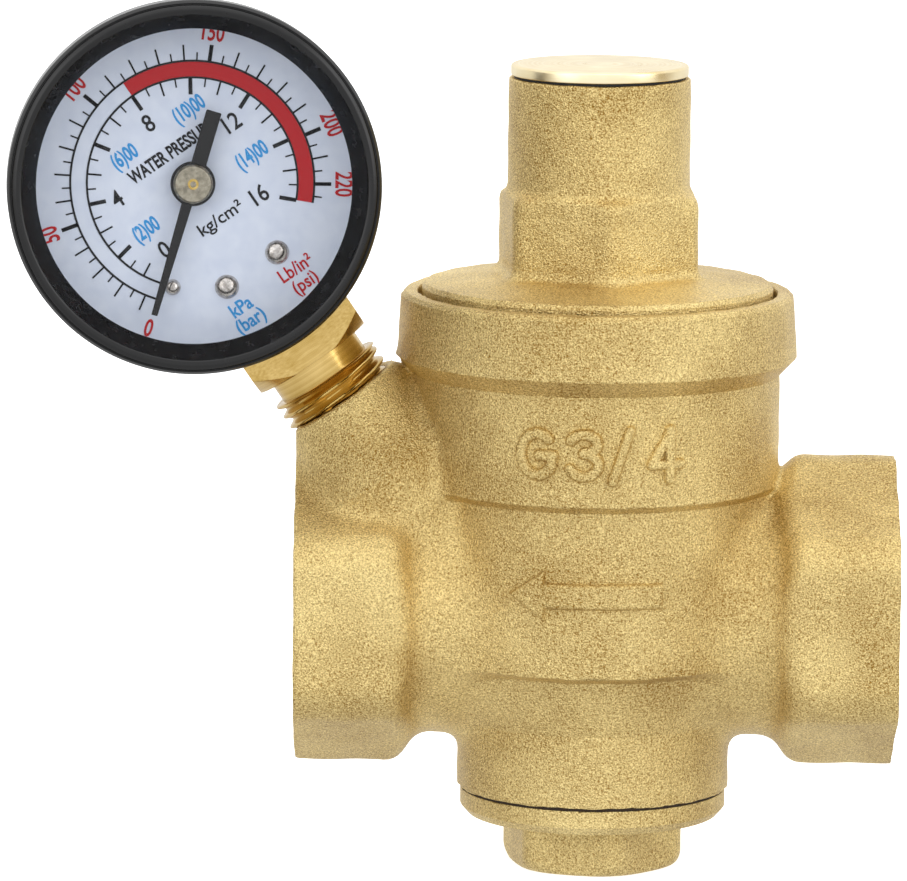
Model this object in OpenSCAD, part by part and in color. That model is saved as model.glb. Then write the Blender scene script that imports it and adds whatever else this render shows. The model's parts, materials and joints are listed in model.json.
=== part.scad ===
// Direct-acting piston pressure reducing valve, 3/4 inch, with a 40 mm pressure gauge.
// Origin: centre of the inlet port's face, on the flow axis. +X points out of the inlet,
// +Z is up along the spindle, and the gauge faces -Y. Millimetres.

/* [Ports] */
// Distance between the two port faces
face_to_face = 67.5; // [66:0.5:76]
// Width across the flats of the port hexagons
port_hex_af = 32; // [31:0.5:34]
// Length of each port hexagon
port_hex_len = 11.4; // [11:0.1:14]
// Radius of the port thread's crests (G3/4 minor radius)
port_bore_r = 12.06; // [11.9:0.01:12.4]
// Depth of each port thread
port_depth = 14; // [12:0.5:15]
// Outside radius of the flow tube between the hexagons
tube_r = 14.2; // [13.6:0.1:15]

/* [Body] */
// Radius of the bowl under the flow axis
bowl_r = 15.2; // [14.8:0.1:16]
// Depth of the bowl's lower face below the flow axis
bowl_depth = 20; // [19:0.5:22]
// Radius of the lower barrel
lower_barrel_r = 19.3; // [18.8:0.1:20]
// Radius of the upper barrel
upper_barrel_r = 20.4; // [20:0.1:21]
// Largest radius of the collar
collar_r = 22.3; // [21.8:0.1:23]
// Height of the collar's rim above the flow axis
rim_z = 36; // [35:0.5:38]
// Height that cast marks stand proud
mark_relief = 0.45; // [0.3:0.05:0.6]

/* [Bonnet] */
// Radius of the bonnet flange
flange_r = 19.7; // [19:0.1:20]
// Width across the flats of the bonnet hexagon
bonnet_hex_af = 21; // [20.8:0.1:22]
// Height of the hexagon's top above the flow axis
bonnet_hex_top = 47.5; // [46:0.5:49]
// Radius of the spring housing's neck
neck_r = 10.2; // [10:0.1:10.4]
// Height of the neck's top above the flow axis
neck_top = 60.2; // [59.5:0.1:61]
// Radius of the thread bore inside the neck
neck_bore_r = 8.3; // [8.1:0.1:8.5]
// Radius of the top cap
top_cap_r = 9.95; // [9.6:0.05:10.2]

/* [Spring and piston] */
// Diameter of the spring wire
wire_d = 2.3; // [2:0.1:2.5]
// Mean radius of the spring
spring_r = 6.5; // [6.2:0.1:6.6]
// Number of turns in the spring, with one closed turn at each end
spring_turns = 8; // [7:1:9]
// Radius of the piston bore
piston_bore_r = 16; // [15.8:0.1:16.4]
// Radial clearance of the piston head
piston_gap = 0.1; // [0.04:0.01:0.1]
// Radius of the orifice through the seat
orifice_r = 7; // [6:0.5:7]
// Radius of the valve stem
stem_r = 3.5; // [3:0.1:3.8]

/* [Gauge] */
// Tilt of the gauge and its boss towards the outlet, in degrees
gauge_tilt = 34.5; // [30:0.5:38]
// Turn of the gauge about its stem, dial towards the inlet, in degrees
gauge_yaw = 5; // [0:0.5:12]
// Distance of the gauge's centre from the spindle axis
gauge_out = 45.7; // [44:0.1:47]
// Height of the gauge's centre above the flow axis
gauge_up = 48.3; // [48:0.1:50]
// Outside radius of the bezel
bezel_r = 20.75; // [20.6:0.05:21]
// Outside radius of the gauge case
case_r = 19.8; // [19.7:0.05:19.8]
// Width of the socket's wrench block
block_w = 14; // [13:0.5:14]
// Angle of the resting pointer, clockwise from straight down
pointer_rest = 50.7; // [48:0.1:52]

/* [Hidden] */
$fn = 64;

half_len = face_to_face / 2;
// Gap left between pieces that are screwed or clamped together
seat_gap = 0.05;
eps = 0.01;

// Heights on the spindle axis
skirt_z = 26.3;
gasket_z = 25.5;
recess_z = 34;
bore_floor_z = 10.9;
web_top = 1.5;
web_bottom = -2.5;
seat_lip_z = -3.4;
chamber_floor = -14;
bottom_seal = 0.5;
cap_seal_t = 0.3;
cup_floor_z = 14;
seat_z = 42.8;
seat_t = 1.2;
screw_z = seat_z + seat_t + seat_gap;
screw_len = 8;
shoulder_z = -6.3;

// Radii inside the valve
chamber_r = 12;
passage_r = 9;
bonnet_thread_r = 18.2;
recess_r = 20.15;
bottom_thread_r = 13;
lip_r = orifice_r + 1.2;
stud_r = 2.4;

// Gauge boss: its face lies this far below the gauge's centre
boss_face = 29.6;
boss_r = 7.15;
boss_thread_r = 6.6;
boss_thread_depth = 9.6;

// Gauge depths, measured from the stem's plane towards the dial side
case_back = -11;
case_front = 8.1;
case_wall = 0.8;
bezel_back = 7.1;
bezel_front = 13;
lip_back = 10;
lens_back = 8.15;
lens_front = 9.7;
dial_back = 4.1;
dial_front = 4.5;
pointer_back = 6.05;
pointer_front = 6.3;
front_plate_z = [0.8, 1.6];
rear_plate_z = [-3.4, -2.6];
gear_z = [-1.3, -0.3];
plate_gap = front_plate_z[0] - rear_plate_z[1];

// Movement: a 10-tooth pinion and a sector of a 54-tooth wheel
gear_module = 0.25;
pinion_teeth = 10;
sector_teeth = 54;
pinion_pitch_r = gear_module * pinion_teeth / 2;
sector_pitch_r = gear_module * sector_teeth / 2;
sector_pivot = [0, -(pinion_pitch_r + sector_pitch_r)];
tail_len = 4.5;
tail_rest = -40;
tail_eye = sector_pivot + tail_len * [cos(tail_rest), sin(tail_rest)];
tip_eye = [11, -6];
screw_spots = [[-3.2, -11], [0, -12.2]];
pillar_spots = [[4.2, 1.5], [-4.2, 1.5], [3.2, -13], [-3.4, -13.2]];
dial_screw_spots = [[3.4, -11.8], [-3.4, -11.8]];
case_screw_spots = [[3.5, -13], [-3.5, -13]];
tube_mean_r = 12.5;
tube_end = -20;
tube_start = 180 + acos(6.05 / (tube_mean_r - 1));
stop_pin_spot = 11.9 * [-sin(45), -cos(45)];

// ---------------------------------------------------------------- frames and helpers

module on_spindle() translate([-half_len, 0, 0]) children();

// Dial frame: x to the right, y up the gauge, z out of the dial
module on_gauge()
    on_spindle()
        translate([-gauge_out, 0, gauge_up])
            rotate([0, -gauge_tilt, 0])
                rotate([90, 0, 0]) rotate([0, gauge_yaw, 0]) children();

// Boss frame: +Z runs up the gauge's stem, with 0 at the boss face
module on_boss()
    on_spindle()
        translate([-gauge_out, 0, gauge_up])
            rotate([0, -gauge_tilt, 0])
                translate([0, 0, -boss_face]) children();

module ring(r_in, r_out, z0, z1)
    translate([0, 0, z0])
        difference() {
            cylinder(r = r_out, h = z1 - z0);
            translate([0, 0, -1]) cylinder(r = r_in, h = z1 - z0 + 2);
        }

module slab(z) translate([0, 0, z[0]]) linear_extrude(z[1] - z[0]) children();

module at_each(spots) for (p = spots) translate([p[0], p[1], 0]) children();

function hex_r(af) = af / sqrt(3);

function left_of(a, b) = let (d = (b - a) / norm(b - a)) [-d[1], d[0]];

// Mitred sideways direction at one point of a path
function sideways(path, i) =
    let (
        last = len(path) - 1,
        n1 = left_of(path[max(i - 1, 0)], path[max(i, 1)]),
        n2 = left_of(path[min(i, last - 1)], path[min(i + 1, last)])
    )
    (n1 + n2) / (1 + n1 * n2);

function outline(path, w) = concat(
    [for (i = [0:len(path) - 1]) path[i] + sideways(path, i) * w / 2],
    [for (i = [len(path) - 1:-1:0]) path[i] - sideways(path, i) * w / 2]
);

module stroke(path, w) polygon(outline(path, w));

function arc(c, rx, ry, a0, a1, n) =
    [for (i = [0:n]) let (a = a0 + (a1 - a0) * i / n) c + [rx * cos(a), ry * sin(a)]];

// ---------------------------------------------------------------- valve body

module body_outside() {
    // Bowl, two barrels and the collar are turned about the spindle axis
    rotate_extrude()
        polygon([
            [0, -bowl_depth], [bowl_r, -bowl_depth], [bowl_r, -12], [17.5, -4.8],
            [lower_barrel_r, -4.8], [lower_barrel_r, 14], [upper_barrel_r, 14],
            [upper_barrel_r, 27.1], [collar_r, 29], [collar_r - 0.5, rim_z], [0, rim_z],
        ]);
    rotate([0, 90, 0]) cylinder(r = tube_r, h = 2 * (half_len - 10), center = true);
    port_hexagon();
    mirror([1, 0, 0]) port_hexagon();
}

// The hexagon's edges are rounded down and its inner end is turned to a cone
module port_hexagon() {
    inner = half_len - port_hex_len;
    edge_r = hex_r(port_hex_af) - 0.7;
    intersection() {
        translate([inner - 3, 0, 0])
            rotate([0, 90, 0]) cylinder(r = hex_r(port_hex_af), h = port_hex_len + 3, $fn = 6);
        rotate([0, 90, 0])
            rotate_extrude()
                polygon([
                    [0, inner - 2.8], [tube_r - 0.6, inner - 2.8], [edge_r, inner],
                    [edge_r, half_len], [0, half_len],
                ]);
    }
}

// The boss is trimmed flush with the outlet port's face
module gauge_boss_outside()
    intersection() {
        on_boss()
            rotate_extrude()
                polygon([[0, -24], [11, -24], [11, -14], [9.3, -5], [boss_r, 0], [0, 0]]);
        translate([-face_to_face, -20, 0]) cube([face_to_face, 40, 40]);
    }

module size_mark_2d() {
    w = 1;
    translate([-9.1, -2.8]) {
        stroke(concat(arc([2.3, 2.8], 1.8, 2.3, 45, 325, 14), [[4.05, 2.5], [2.5, 2.5]]), w);
        translate([5.6, 0]) {
            stroke(arc([1.9, 4.1], 1.5, 1, 160, -90, 10), w);
            stroke(arc([1.9, 1.8], 1.6, 1.3, 90, -160, 10), w);
        }
        translate([10.2, 0]) stroke([[0.4, -0.2], [2.3, 5.8]], w * 0.8);
        translate([13.7, 0]) {
            stroke([[3, 0], [3, 5.6]], w);
            stroke([[2.9, 5.2], [0.8, 1.7], [4.4, 1.7]], w * 0.9);
        }
    }
}

module flow_arrow_2d()
    polygon([
        [-10.2, 0], [-5.5, 2.5], [-5.5, 1.4], [7, 1.4],
        [7, -1.4], [-5.5, -1.4], [-5.5, -2.5],
    ]);

// Extrudes an outline towards the front and trims it to stand proud of a barrel
module cast_mark(barrel_r, z)
    intersection() {
        translate([0, 0, z])
            rotate([90, 0, 0]) translate([0, 0, 15]) linear_extrude(8) children();
        translate([0, 0, z - 6]) cylinder(r = barrel_r + mark_relief, h = 12);
    }

module body_inside() {
    translate([0, 0, recess_z]) cylinder(r = recess_r, h = 3);
    translate([0, 0, gasket_z]) cylinder(r = bonnet_thread_r, h = 10);
    translate([0, 0, bore_floor_z]) cylinder(r = piston_bore_r, h = 16);
    translate([0, 0, web_top]) cylinder(r = chamber_r, h = 10);
    translate([0, 0, seat_lip_z - 1]) cylinder(r = orifice_r, h = 7);
    difference() {
        translate([0, 0, chamber_floor - 1]) cylinder(r = chamber_r, h = web_bottom - chamber_floor + 1);
        translate([0, 0, seat_lip_z]) cylinder(r = lip_r, h = 3);
    }
    translate([0, 0, -bowl_depth - 1]) cylinder(r = bottom_thread_r, h = bowl_depth + chamber_floor + 1);
    // Inlet passage below the seat, outlet passage above it
    flow_passage(1, [-chamber_r, web_bottom]);
    flow_passage(-1, [web_top, chamber_r]);
    for (side = [-1, 1])
        translate([side * (half_len - port_depth / 2 + 1), 0, 0])
            rotate([0, 90, 0]) cylinder(r = port_bore_r, h = port_depth + 2, center = true);
}

module flow_passage(side, z)
    intersection() {
        translate([side * 12, 0, 0]) rotate([0, 90, 0]) cylinder(r = passage_r, h = 20, center = true);
        translate([side * 12 - 15, -15, z[0]]) cube([30, 30, z[1] - z[0]]);
    }

module gauge_port_inside()
    on_boss() {
        translate([0, 0, -boss_thread_depth]) cylinder(r = boss_thread_r, h = boss_thread_depth + 1);
        translate([0, 0, -25]) cylinder(r = 1.5, h = 20);
    }

module body() {
    color("goldenrod")
        difference() {
            union() {
                on_spindle() {
                    body_outside();
                    cast_mark(upper_barrel_r, 20.6) size_mark_2d();
                    cast_mark(lower_barrel_r, 4.6) flow_arrow_2d();
                }
                gauge_boss_outside();
            }
            on_spindle() body_inside();
            gauge_port_inside();
        }
}

// ---------------------------------------------------------------- bonnet and adjuster

module bonnet() {
    edge_r = hex_r(bonnet_hex_af) - 0.35;
    color("goldenrod")
        on_spindle()
            difference() {
                union() {
                    rotate_extrude()
                        polygon([
                            [0, skirt_z], [bonnet_thread_r - 0.1, skirt_z],
                            [bonnet_thread_r - 0.1, recess_z + seat_gap],
                            [flange_r, recess_z + seat_gap], [flange_r, 36.6],
                            [flange_r - 0.5, 37.2], [12, 38.2], [0, 38.2],
                        ]);
                    intersection() {
                        translate([0, 0, 37])
                            rotate(-82)
                                cylinder(r = hex_r(bonnet_hex_af), h = bonnet_hex_top - 37, $fn = 6);
                        rotate_extrude()
                            polygon([
                                [0, 37], [edge_r, 37], [edge_r, bonnet_hex_top - 1.2],
                                [edge_r - 1.2, bonnet_hex_top], [0, bonnet_hex_top],
                            ]);
                    }
                    translate([0, 0, 40]) cylinder(r = neck_r, h = neck_top - 40);
                }
                rotate_extrude()
                    polygon([
                        [0, skirt_z - 1], [14.5, skirt_z - 1], [14.5, 32], [9, 37.5], [9, 40],
                        [neck_bore_r, 40.7], [neck_bore_r, neck_top + 1], [0, neck_top + 1],
                    ]);
            }
}

module bonnet_gasket()
    color("dimgray")
        on_spindle() ring(16.3, 18, gasket_z, skirt_z);

module top_cap()
    color("khaki")
        on_spindle()
            rotate_extrude()
                polygon([
                    [0, 56.5], [6.3, 56.5], [6.3, 54.8], [neck_bore_r - 0.05, 54.8],
                    [neck_bore_r - 0.05, neck_top + cap_seal_t], [top_cap_r, neck_top + cap_seal_t],
                    [top_cap_r, 61.5], [top_cap_r - 0.2, 61.7], [0, 61.7],
                ]);

module cap_seal()
    color("dimgray")
        on_spindle() ring(8.45, 9.6, neck_top + 0.02, neck_top + cap_seal_t - 0.02);

module adjusting_screw()
    color("darkgoldenrod")
        on_spindle()
            difference() {
                translate([0, 0, screw_z]) cylinder(r = neck_bore_r - 0.08, h = screw_len);
                // Screwdriver slot
                translate([0, 0, screw_z + screw_len]) cube([20, 1.6, 3], center = true);
            }

module upper_spring_seat()
    color("silver")
        on_spindle() {
            translate([0, 0, seat_z]) cylinder(r = 7.8, h = seat_t);
            translate([0, 0, seat_z - 2]) cylinder(r = 4.9, h = 2.5);
        }

// Centreline height of the spring at t turns: the first and last turns are closed
function coil_z(t) =
    let (
        low = cup_floor_z + wire_d / 2 + seat_gap,
        high = seat_z - wire_d / 2 - seat_gap,
        shut = wire_d * 1.02,
        lead = (high - low - 2 * shut) / (spring_turns - 2)
    )
    t < 1 ? low + shut * t
    : t < spring_turns - 1 ? low + shut + lead * (t - 1)
    : high - shut * (spring_turns - t);

module main_spring() {
    per_turn = 16;
    sides = 8;
    rings = spring_turns * per_turn;
    points = [
        for (i = [0:rings], k = [0:sides - 1])
            let (
                turn = 360 * i / per_turn,
                around = 360 * k / sides,
                r = spring_r + wire_d / 2 * cos(around)
            )
            [r * cos(turn), r * sin(turn), coil_z(i / per_turn) + wire_d / 2 * sin(around)]
    ];
    faces = concat(
        [[for (k = [0:sides - 1]) k]],
        [
            for (i = [0:rings - 1], k = [0:sides - 1])
                let (a = i * sides, b = a + sides, n = (k + 1) % sides)
                [a + k, b + k, b + n, a + n]
        ],
        [[for (k = [sides - 1:-1:0]) rings * sides + k]]
    );
    color("gray") on_spindle() polyhedron(points, faces);
}

// ---------------------------------------------------------------- piston and valve disc

module piston() {
    head_r = piston_bore_r - piston_gap;
    color("khaki")
        on_spindle()
            rotate_extrude()
                polygon([
                    [0, -17], [stud_r, -17], [stud_r, shoulder_z], [stem_r, shoulder_z],
                    [stem_r, 9.5], [stem_r + 1.2, bore_floor_z + 0.3], [head_r, bore_floor_z + 0.3],
                    [head_r, 13], [13.4, 13], [13.4, 16], [head_r, 16], [head_r, 18.2],
                    [8.3, 18.2], [8.3, cup_floor_z], [0, cup_floor_z],
                ]);
}

module piston_ring()
    color("black")
        on_spindle()
            translate([0, 0, 14.5])
                rotate_extrude() translate([14.68, 0]) circle(r = 1.25);

module stem_washer()
    color("silver")
        on_spindle() ring(stud_r + seat_gap, 5, shoulder_z - 0.55, shoulder_z - seat_gap);

module valve_disc()
    color("black")
        on_spindle() ring(stud_r + seat_gap, 9, shoulder_z - 3.1, shoulder_z - 0.6);

module disc_holder()
    color("khaki")
        on_spindle() {
            ring(stud_r + seat_gap, 9.9, shoulder_z - 5.1, shoulder_z - 3.15);
            ring(9.1, 9.9, shoulder_z - 3.2, shoulder_z - 1.6);
        }

module disc_nut()
    color("silver")
        on_spindle()
            translate([0, 0, shoulder_z - 9.1])
                difference() {
                    cylinder(r = hex_r(8), h = 3.95, $fn = 6);
                    translate([0, 0, -1]) cylinder(r = stud_r + seat_gap, h = 6);
                }

// ---------------------------------------------------------------- bottom cap

module bottom_cap() {
    flange_top = -bowl_depth - bottom_seal;
    hex_bottom = -29.2;
    hex_corner = hex_r(18.5);
    color("goldenrod")
        on_spindle()
            difference() {
                union() {
                    rotate_extrude()
                        polygon([
                            [0, -15.5], [12.55, -15.5], [12.95, -15.9], [12.95, flange_top],
                            [15, flange_top], [15, -22.5], [14.3, -23.3], [0, -23.3],
                        ]);
                    intersection() {
                        translate([0, 0, hex_bottom])
                            rotate(-76) cylinder(r = hex_corner, h = 7, $fn = 6);
                        rotate_extrude()
                            polygon([
                                [0, hex_bottom], [hex_corner - 1.7, hex_bottom],
                                [hex_corner - 0.4, hex_bottom + 1.2], [hex_corner - 0.4, -22],
                                [0, -22],
                            ]);
                    }
                }
                translate([0, 0, -24]) cylinder(r = 10.5, h = 10);
            }
}

module bottom_gasket()
    color("dimgray")
        on_spindle() ring(13.05, 14.9, -bowl_depth - bottom_seal, -bowl_depth);

// ---------------------------------------------------------------- gauge

// Socket: clamping block in the case, neck, wrench block and G1/4 stem, all in the dial frame
module gauge_socket()
    color("gold")
        on_gauge()
            difference() {
                union() {
                    translate([-6, -15, -10.15]) cube([12, 6, 10.15 + rear_plate_z[0]]);
                    translate([-6, -17.6, -10.15]) cube([12, 3, 12.15]);
                    // The neck is cut back inside the case to pass behind the dial
                    intersection() {
                        rotate([90, 0, 0]) translate([0, 0, 17]) cylinder(r = 5.5, h = 2.2);
                        translate([-6, -20, -6]) cube([12, 4, 6 + dial_back - 0.2]);
                    }
                    rotate([90, 0, 0]) {
                        translate([0, 0, 18.9]) cylinder(r = 5.5, h = 7.9);
                        translate([0, 0, 26.6]) cylinder(r = 6.55, h = 10.6);
                        translate([0, 0, 37.2]) cylinder(r1 = 6.55, r2 = 5.75, h = 0.8);
                        intersection() {
                            translate([-block_w / 2, -block_w / 2, 20.1]) cube([block_w, block_w, 4]);
                            rotate_extrude()
                                polygon([[0, 20], [9.6, 20], [9.6, 22.2], [7.4, 24.1], [0, 24.1]]);
                        }
                    }
                }
                rotate([90, 0, 0]) translate([0, 0, 12]) cylinder(r = 2, h = 30);
                // Cross drilling to the root of the tube
                translate([-7, -11, -5.5]) rotate([0, 90, 0]) cylinder(r = 0.8, h = 7);
                translate([0, -11, -5.5]) sphere(r = 0.8);
                translate([0, -13, -7]) cylinder(r = 0.8, h = 3);
                at_each(case_screw_spots) translate([0, 0, -11]) cylinder(r = 1.05, h = 3.5);
                at_each(screw_spots) translate([0, 0, rear_plate_z[0] - 1.5]) cylinder(r = 0.65, h = 2);
            }

module gauge_case()
    color("gainsboro")
        on_gauge()
            difference() {
                rotate_extrude()
                    polygon([
                        [0, case_back], [case_r - 1, case_back], [case_r, case_back + 1],
                        [case_r, case_front], [case_r - case_wall, case_front],
                        [case_r - case_wall, case_back + 1.2],
                        [case_r - 1.2, case_back + case_wall], [0, case_back + case_wall],
                    ]);
                rotate([90, 0, 0]) translate([0, 0, 15]) cylinder(r = 5.6, h = 8);
                at_each(case_screw_spots) translate([0, 0, case_back - 1]) cylinder(r = 1.1, h = 3);
            }

module gauge_bezel()
    color("black")
        on_gauge()
            rotate_extrude()
                polygon([
                    [case_r + 0.1, bezel_back], [bezel_r, bezel_back], [bezel_r, 11.9],
                    [20.35, 12.8], [19.9, bezel_front], [19.4, 12.9], [17.5, 11.7],
                    [17.5, lip_back], [case_r + 0.1, lip_back],
                ]);

module gauge_lens()
    color([0.85, 0.92, 0.95, 0.35])
        on_gauge() translate([0, 0, lens_back]) cylinder(r = 19.7, h = lens_front - lens_back);

module lens_ring()
    color("black")
        on_gauge() ring(17.9, 19.7, lens_front + 0.02, lip_back - 0.02);

module gauge_dial()
    color("white")
        on_gauge()
            difference() {
                translate([0, 0, dial_back]) cylinder(r = 18.6, h = dial_front - dial_back);
                translate([0, 0, dial_back - 1]) {
                    cylinder(r = 1.5, h = 3);
                    at_each(dial_screw_spots) cylinder(r = 0.7, h = 3);
                    translate([stop_pin_spot[0], stop_pin_spot[1], 0]) cylinder(r = 0.55, h = 3);
                }
            }

// Domed head on a plain shank, head underside at z = 0
module domed_screw(head_r, head_h, shank_r, shank_len) {
    ball_r = (head_r * head_r + head_h * head_h) / (2 * head_h);
    rotate_extrude()
        polygon(concat(
            [[0, -shank_len], [shank_r, -shank_len], [shank_r, 0]],
            [
                for (i = [0:6])
                    let (a = asin(head_r / ball_r) * (1 - i / 6))
                    [ball_r * sin(a), head_h - ball_r * (1 - cos(a))]
            ]
        ));
}

module dial_screws()
    color("silver")
        on_gauge()
            at_each(dial_screw_spots)
                translate([0, 0, dial_front + 0.02]) domed_screw(1.35, 0.8, 0.6, 1.4);

module dial_posts()
    color("khaki")
        on_gauge()
            at_each(dial_screw_spots)
                difference() {
                    translate([0, 0, front_plate_z[1]])
                        cylinder(r = 1.1, h = dial_back - front_plate_z[1]);
                    translate([0, 0, dial_back - 1.3]) cylinder(r = 0.65, h = 2);
                }

module stop_pin()
    color("silver")
        on_gauge()
            translate([stop_pin_spot[0], stop_pin_spot[1], dial_front + 0.02])
                domed_screw(0.9, 0.7, 0.5, 1);

module gauge_pointer()
    color("black")
        on_gauge()
            rotate(-90 - pointer_rest)
                difference() {
                    union() {
                        slab([pointer_back, pointer_front]) circle(r = 2.5);
                        slab([pointer_back, pointer_front])
                            polygon([
                                [-8.4, 0.87], [-1, 0.85], [1, 0.62], [15.3, 0.34],
                                [15.3, -0.34], [1, -0.62], [-1, -0.85], [-8.4, -0.87],
                            ]);
                    }
                    translate([0, 0, pointer_back - 1]) cylinder(r = 1.25, h = 3);
                }

module pointer_hub()
    color("darkkhaki")
        on_gauge()
            difference() {
                rotate_extrude()
                    polygon([
                        [0, 5], [1.2, 5], [1.2, pointer_front + 0.02],
                        [2.2, pointer_front + 0.02], [2.2, 6.8], [1.9, 7.1], [0, 7.1],
                    ]);
                translate([0, 0, 4]) cylinder(r = 0.62, h = 4);
            }

// One tooth's four corners, seen from the wheel's centre with the tooth on angle a
function tooth(pitch_r, a) =
    let (
        root_r = pitch_r - 1.25 * gear_module,
        tip_r = pitch_r + 0.85 * gear_module,
        root_half = 0.62 * gear_module,
        tip_half = 0.22 * gear_module
    )
    [
        for (c = [[root_r, -root_half], [tip_r, -tip_half], [tip_r, tip_half], [root_r, root_half]])
            [c[0] * cos(a) - c[1] * sin(a), c[0] * sin(a) + c[1] * cos(a)]
    ];

module pinion_arbor()
    color("khaki")
        on_gauge() {
            translate([0, 0, rear_plate_z[0] + 0.1]) cylinder(r = 0.6, h = 7.2 - rear_plate_z[0] - 0.1);
            // Collet of the hairspring
            translate([0, 0, 0.05]) cylinder(r = 0.95, h = 0.55);
            slab([gear_z[0] - 0.1, gear_z[1] + 0.1])
                polygon([
                    for (i = [0:pinion_teeth - 1])
                        each tooth(pinion_pitch_r, -90 + 360 * (i + 0.5) / pinion_teeth)
                ]);
        }

module hairspring() {
    turns = 4.5;
    steps = 22 * turns;
    end_angle = atan2(pillar_spots[0][1], pillar_spots[0][0]);
    path = [
        for (i = [0:steps])
            let (f = i / steps, a = end_angle - 360 * turns * (1 - f), r = 1.05 + 2.6 * f)
            r * [cos(a), sin(a)]
    ];
    color("goldenrod") on_gauge() slab([0.1, 0.5]) stroke(path, 0.12);
}

module sector_gear() {
    pitch = 360 / sector_teeth;
    a0 = 90 - 8.5 * pitch;
    a1 = 90 + 1.5 * pitch;
    band_r = sector_pitch_r - 1.2 * gear_module;
    color("khaki")
        on_gauge()
            translate([sector_pivot[0], sector_pivot[1], 0]) {
                slab(gear_z)
                    difference() {
                        union() {
                            polygon(concat(
                                arc([0, 0], band_r - 1.3, band_r - 1.3, a1, a0, 10),
                                [for (k = [-8:1]) each tooth(sector_pitch_r, 90 + k * pitch)]
                            ));
                            for (a = [a0 + 9, a1 - 9])
                                stroke([[0, 0], (band_r - 0.6) * [cos(a), sin(a)]], 1.1);
                            circle(r = 1.3);
                            stroke([[0, 0], tail_eye - sector_pivot], 1.3);
                            translate(tail_eye - sector_pivot) circle(r = 0.85);
                        }
                        translate(tail_eye - sector_pivot) circle(r = 0.41);
                    }
                translate([0, 0, rear_plate_z[0] + 0.1])
                    cylinder(r = 0.5, h = front_plate_z[1] - rear_plate_z[0] - 0.2);
            }
}

// The link's pin turns in the sector's tail; its far hole is wide round the tip's pin
module link()
    color("khaki")
        on_gauge() {
            slab([-2.1, -1.5])
                difference() {
                    union() {
                        stroke([tail_eye, tip_eye], 1);
                        translate(tail_eye) circle(r = 0.85);
                        translate(tip_eye) circle(r = 1.5);
                    }
                    translate(tip_eye) circle(r = 0.95);
                }
            translate([tail_eye[0], tail_eye[1], -1.8]) cylinder(r = 0.35, h = 1.7);
        }

module bourdon_tube()
    color("peru")
        on_gauge()
            rotate(tube_end)
                rotate_extrude(angle = tube_start - tube_end)
                    difference() {
                        translate([tube_mean_r - 1, -6.5]) square([2, 5]);
                        translate([tube_mean_r - 0.65, -6.15]) square([1.3, 4.3]);
                    }

module tube_tip()
    color("khaki")
        on_gauge() {
            rotate(tube_end - 13)
                rotate_extrude(angle = 12.8)
                    translate([tube_mean_r - 1.3, -5.8]) square([2.6, 3.4]);
            translate([tip_eye[0], tip_eye[1], -3]) cylinder(r = 0.4, h = 1.7);
        }

module plate_outline_2d()
    polygon([[-5.1, -14.2], [5.1, -14.2], [5.1, 1.2], [3.2, 2.8], [-3.2, 2.8], [-5.1, 1.2]]);

module front_plate()
    color("khaki")
        on_gauge()
            slab(front_plate_z)
                difference() {
                    plate_outline_2d();
                    circle(r = 0.66);
                    translate(sector_pivot) circle(r = 0.56);
                }

module rear_plate()
    color("khaki")
        on_gauge()
            slab(rear_plate_z)
                difference() {
                    plate_outline_2d();
                    circle(r = 0.66);
                    translate(sector_pivot) circle(r = 0.56);
                    at_each(screw_spots) circle(r = 0.65);
                }

module plate_pillars()
    color("khaki")
        on_gauge()
            at_each(pillar_spots)
                translate([0, 0, rear_plate_z[1]]) cylinder(r = 0.7, h = plate_gap);

module movement_screws()
    color("silver")
        on_gauge()
            at_each(screw_spots)
                translate([0, 0, rear_plate_z[1] + 0.02]) domed_screw(1.1, 0.6, 0.6, 2.2);

module case_screws()
    color("silver")
        on_gauge()
            at_each(case_screw_spots)
                difference() {
                    union() {
                        translate([0, 0, case_back - 1.2]) cylinder(r = 2, h = 1.18);
                        translate([0, 0, case_back - 0.5]) cylinder(r = 1, h = 3.6);
                    }
                    translate([0, 0, case_back - 1.2]) cube([5, 0.6, 1.2], center = true);
                }

// ---------------------------------------------------------------- assembly

body();
bonnet();
bonnet_gasket();
top_cap();
cap_seal();
adjusting_screw();
upper_spring_seat();
main_spring();
piston();
piston_ring();
stem_washer();
valve_disc();
disc_holder();
disc_nut();
bottom_cap();
bottom_gasket();
gauge_socket();
gauge_case();
gauge_bezel();
gauge_lens();
lens_ring();
gauge_dial();
dial_screws();
dial_posts();
stop_pin();
gauge_pointer();
pointer_hub();
pinion_arbor();
hairspring();
sector_gear();
link();
bourdon_tube();
tube_tip();
front_plate();
rear_plate();
plate_pillars();
movement_screws();
case_screws();
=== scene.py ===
# %% [markdown]
# # A brass pressure reducing valve with its gauge
# The valve is a sand-blasted brass forging with two hexagonal ports, a screwed bonnet that holds
# the spring, a bottom cap, and a small dial gauge on a slanted boss. The working model with its
# joints is loaded first, and every piece made below sits in that frame and rides on its bodies.

# %% Load the working model
import json
import math
import bmesh
import bpy
import numpy as np
from mathutils import Matrix, Vector

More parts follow.
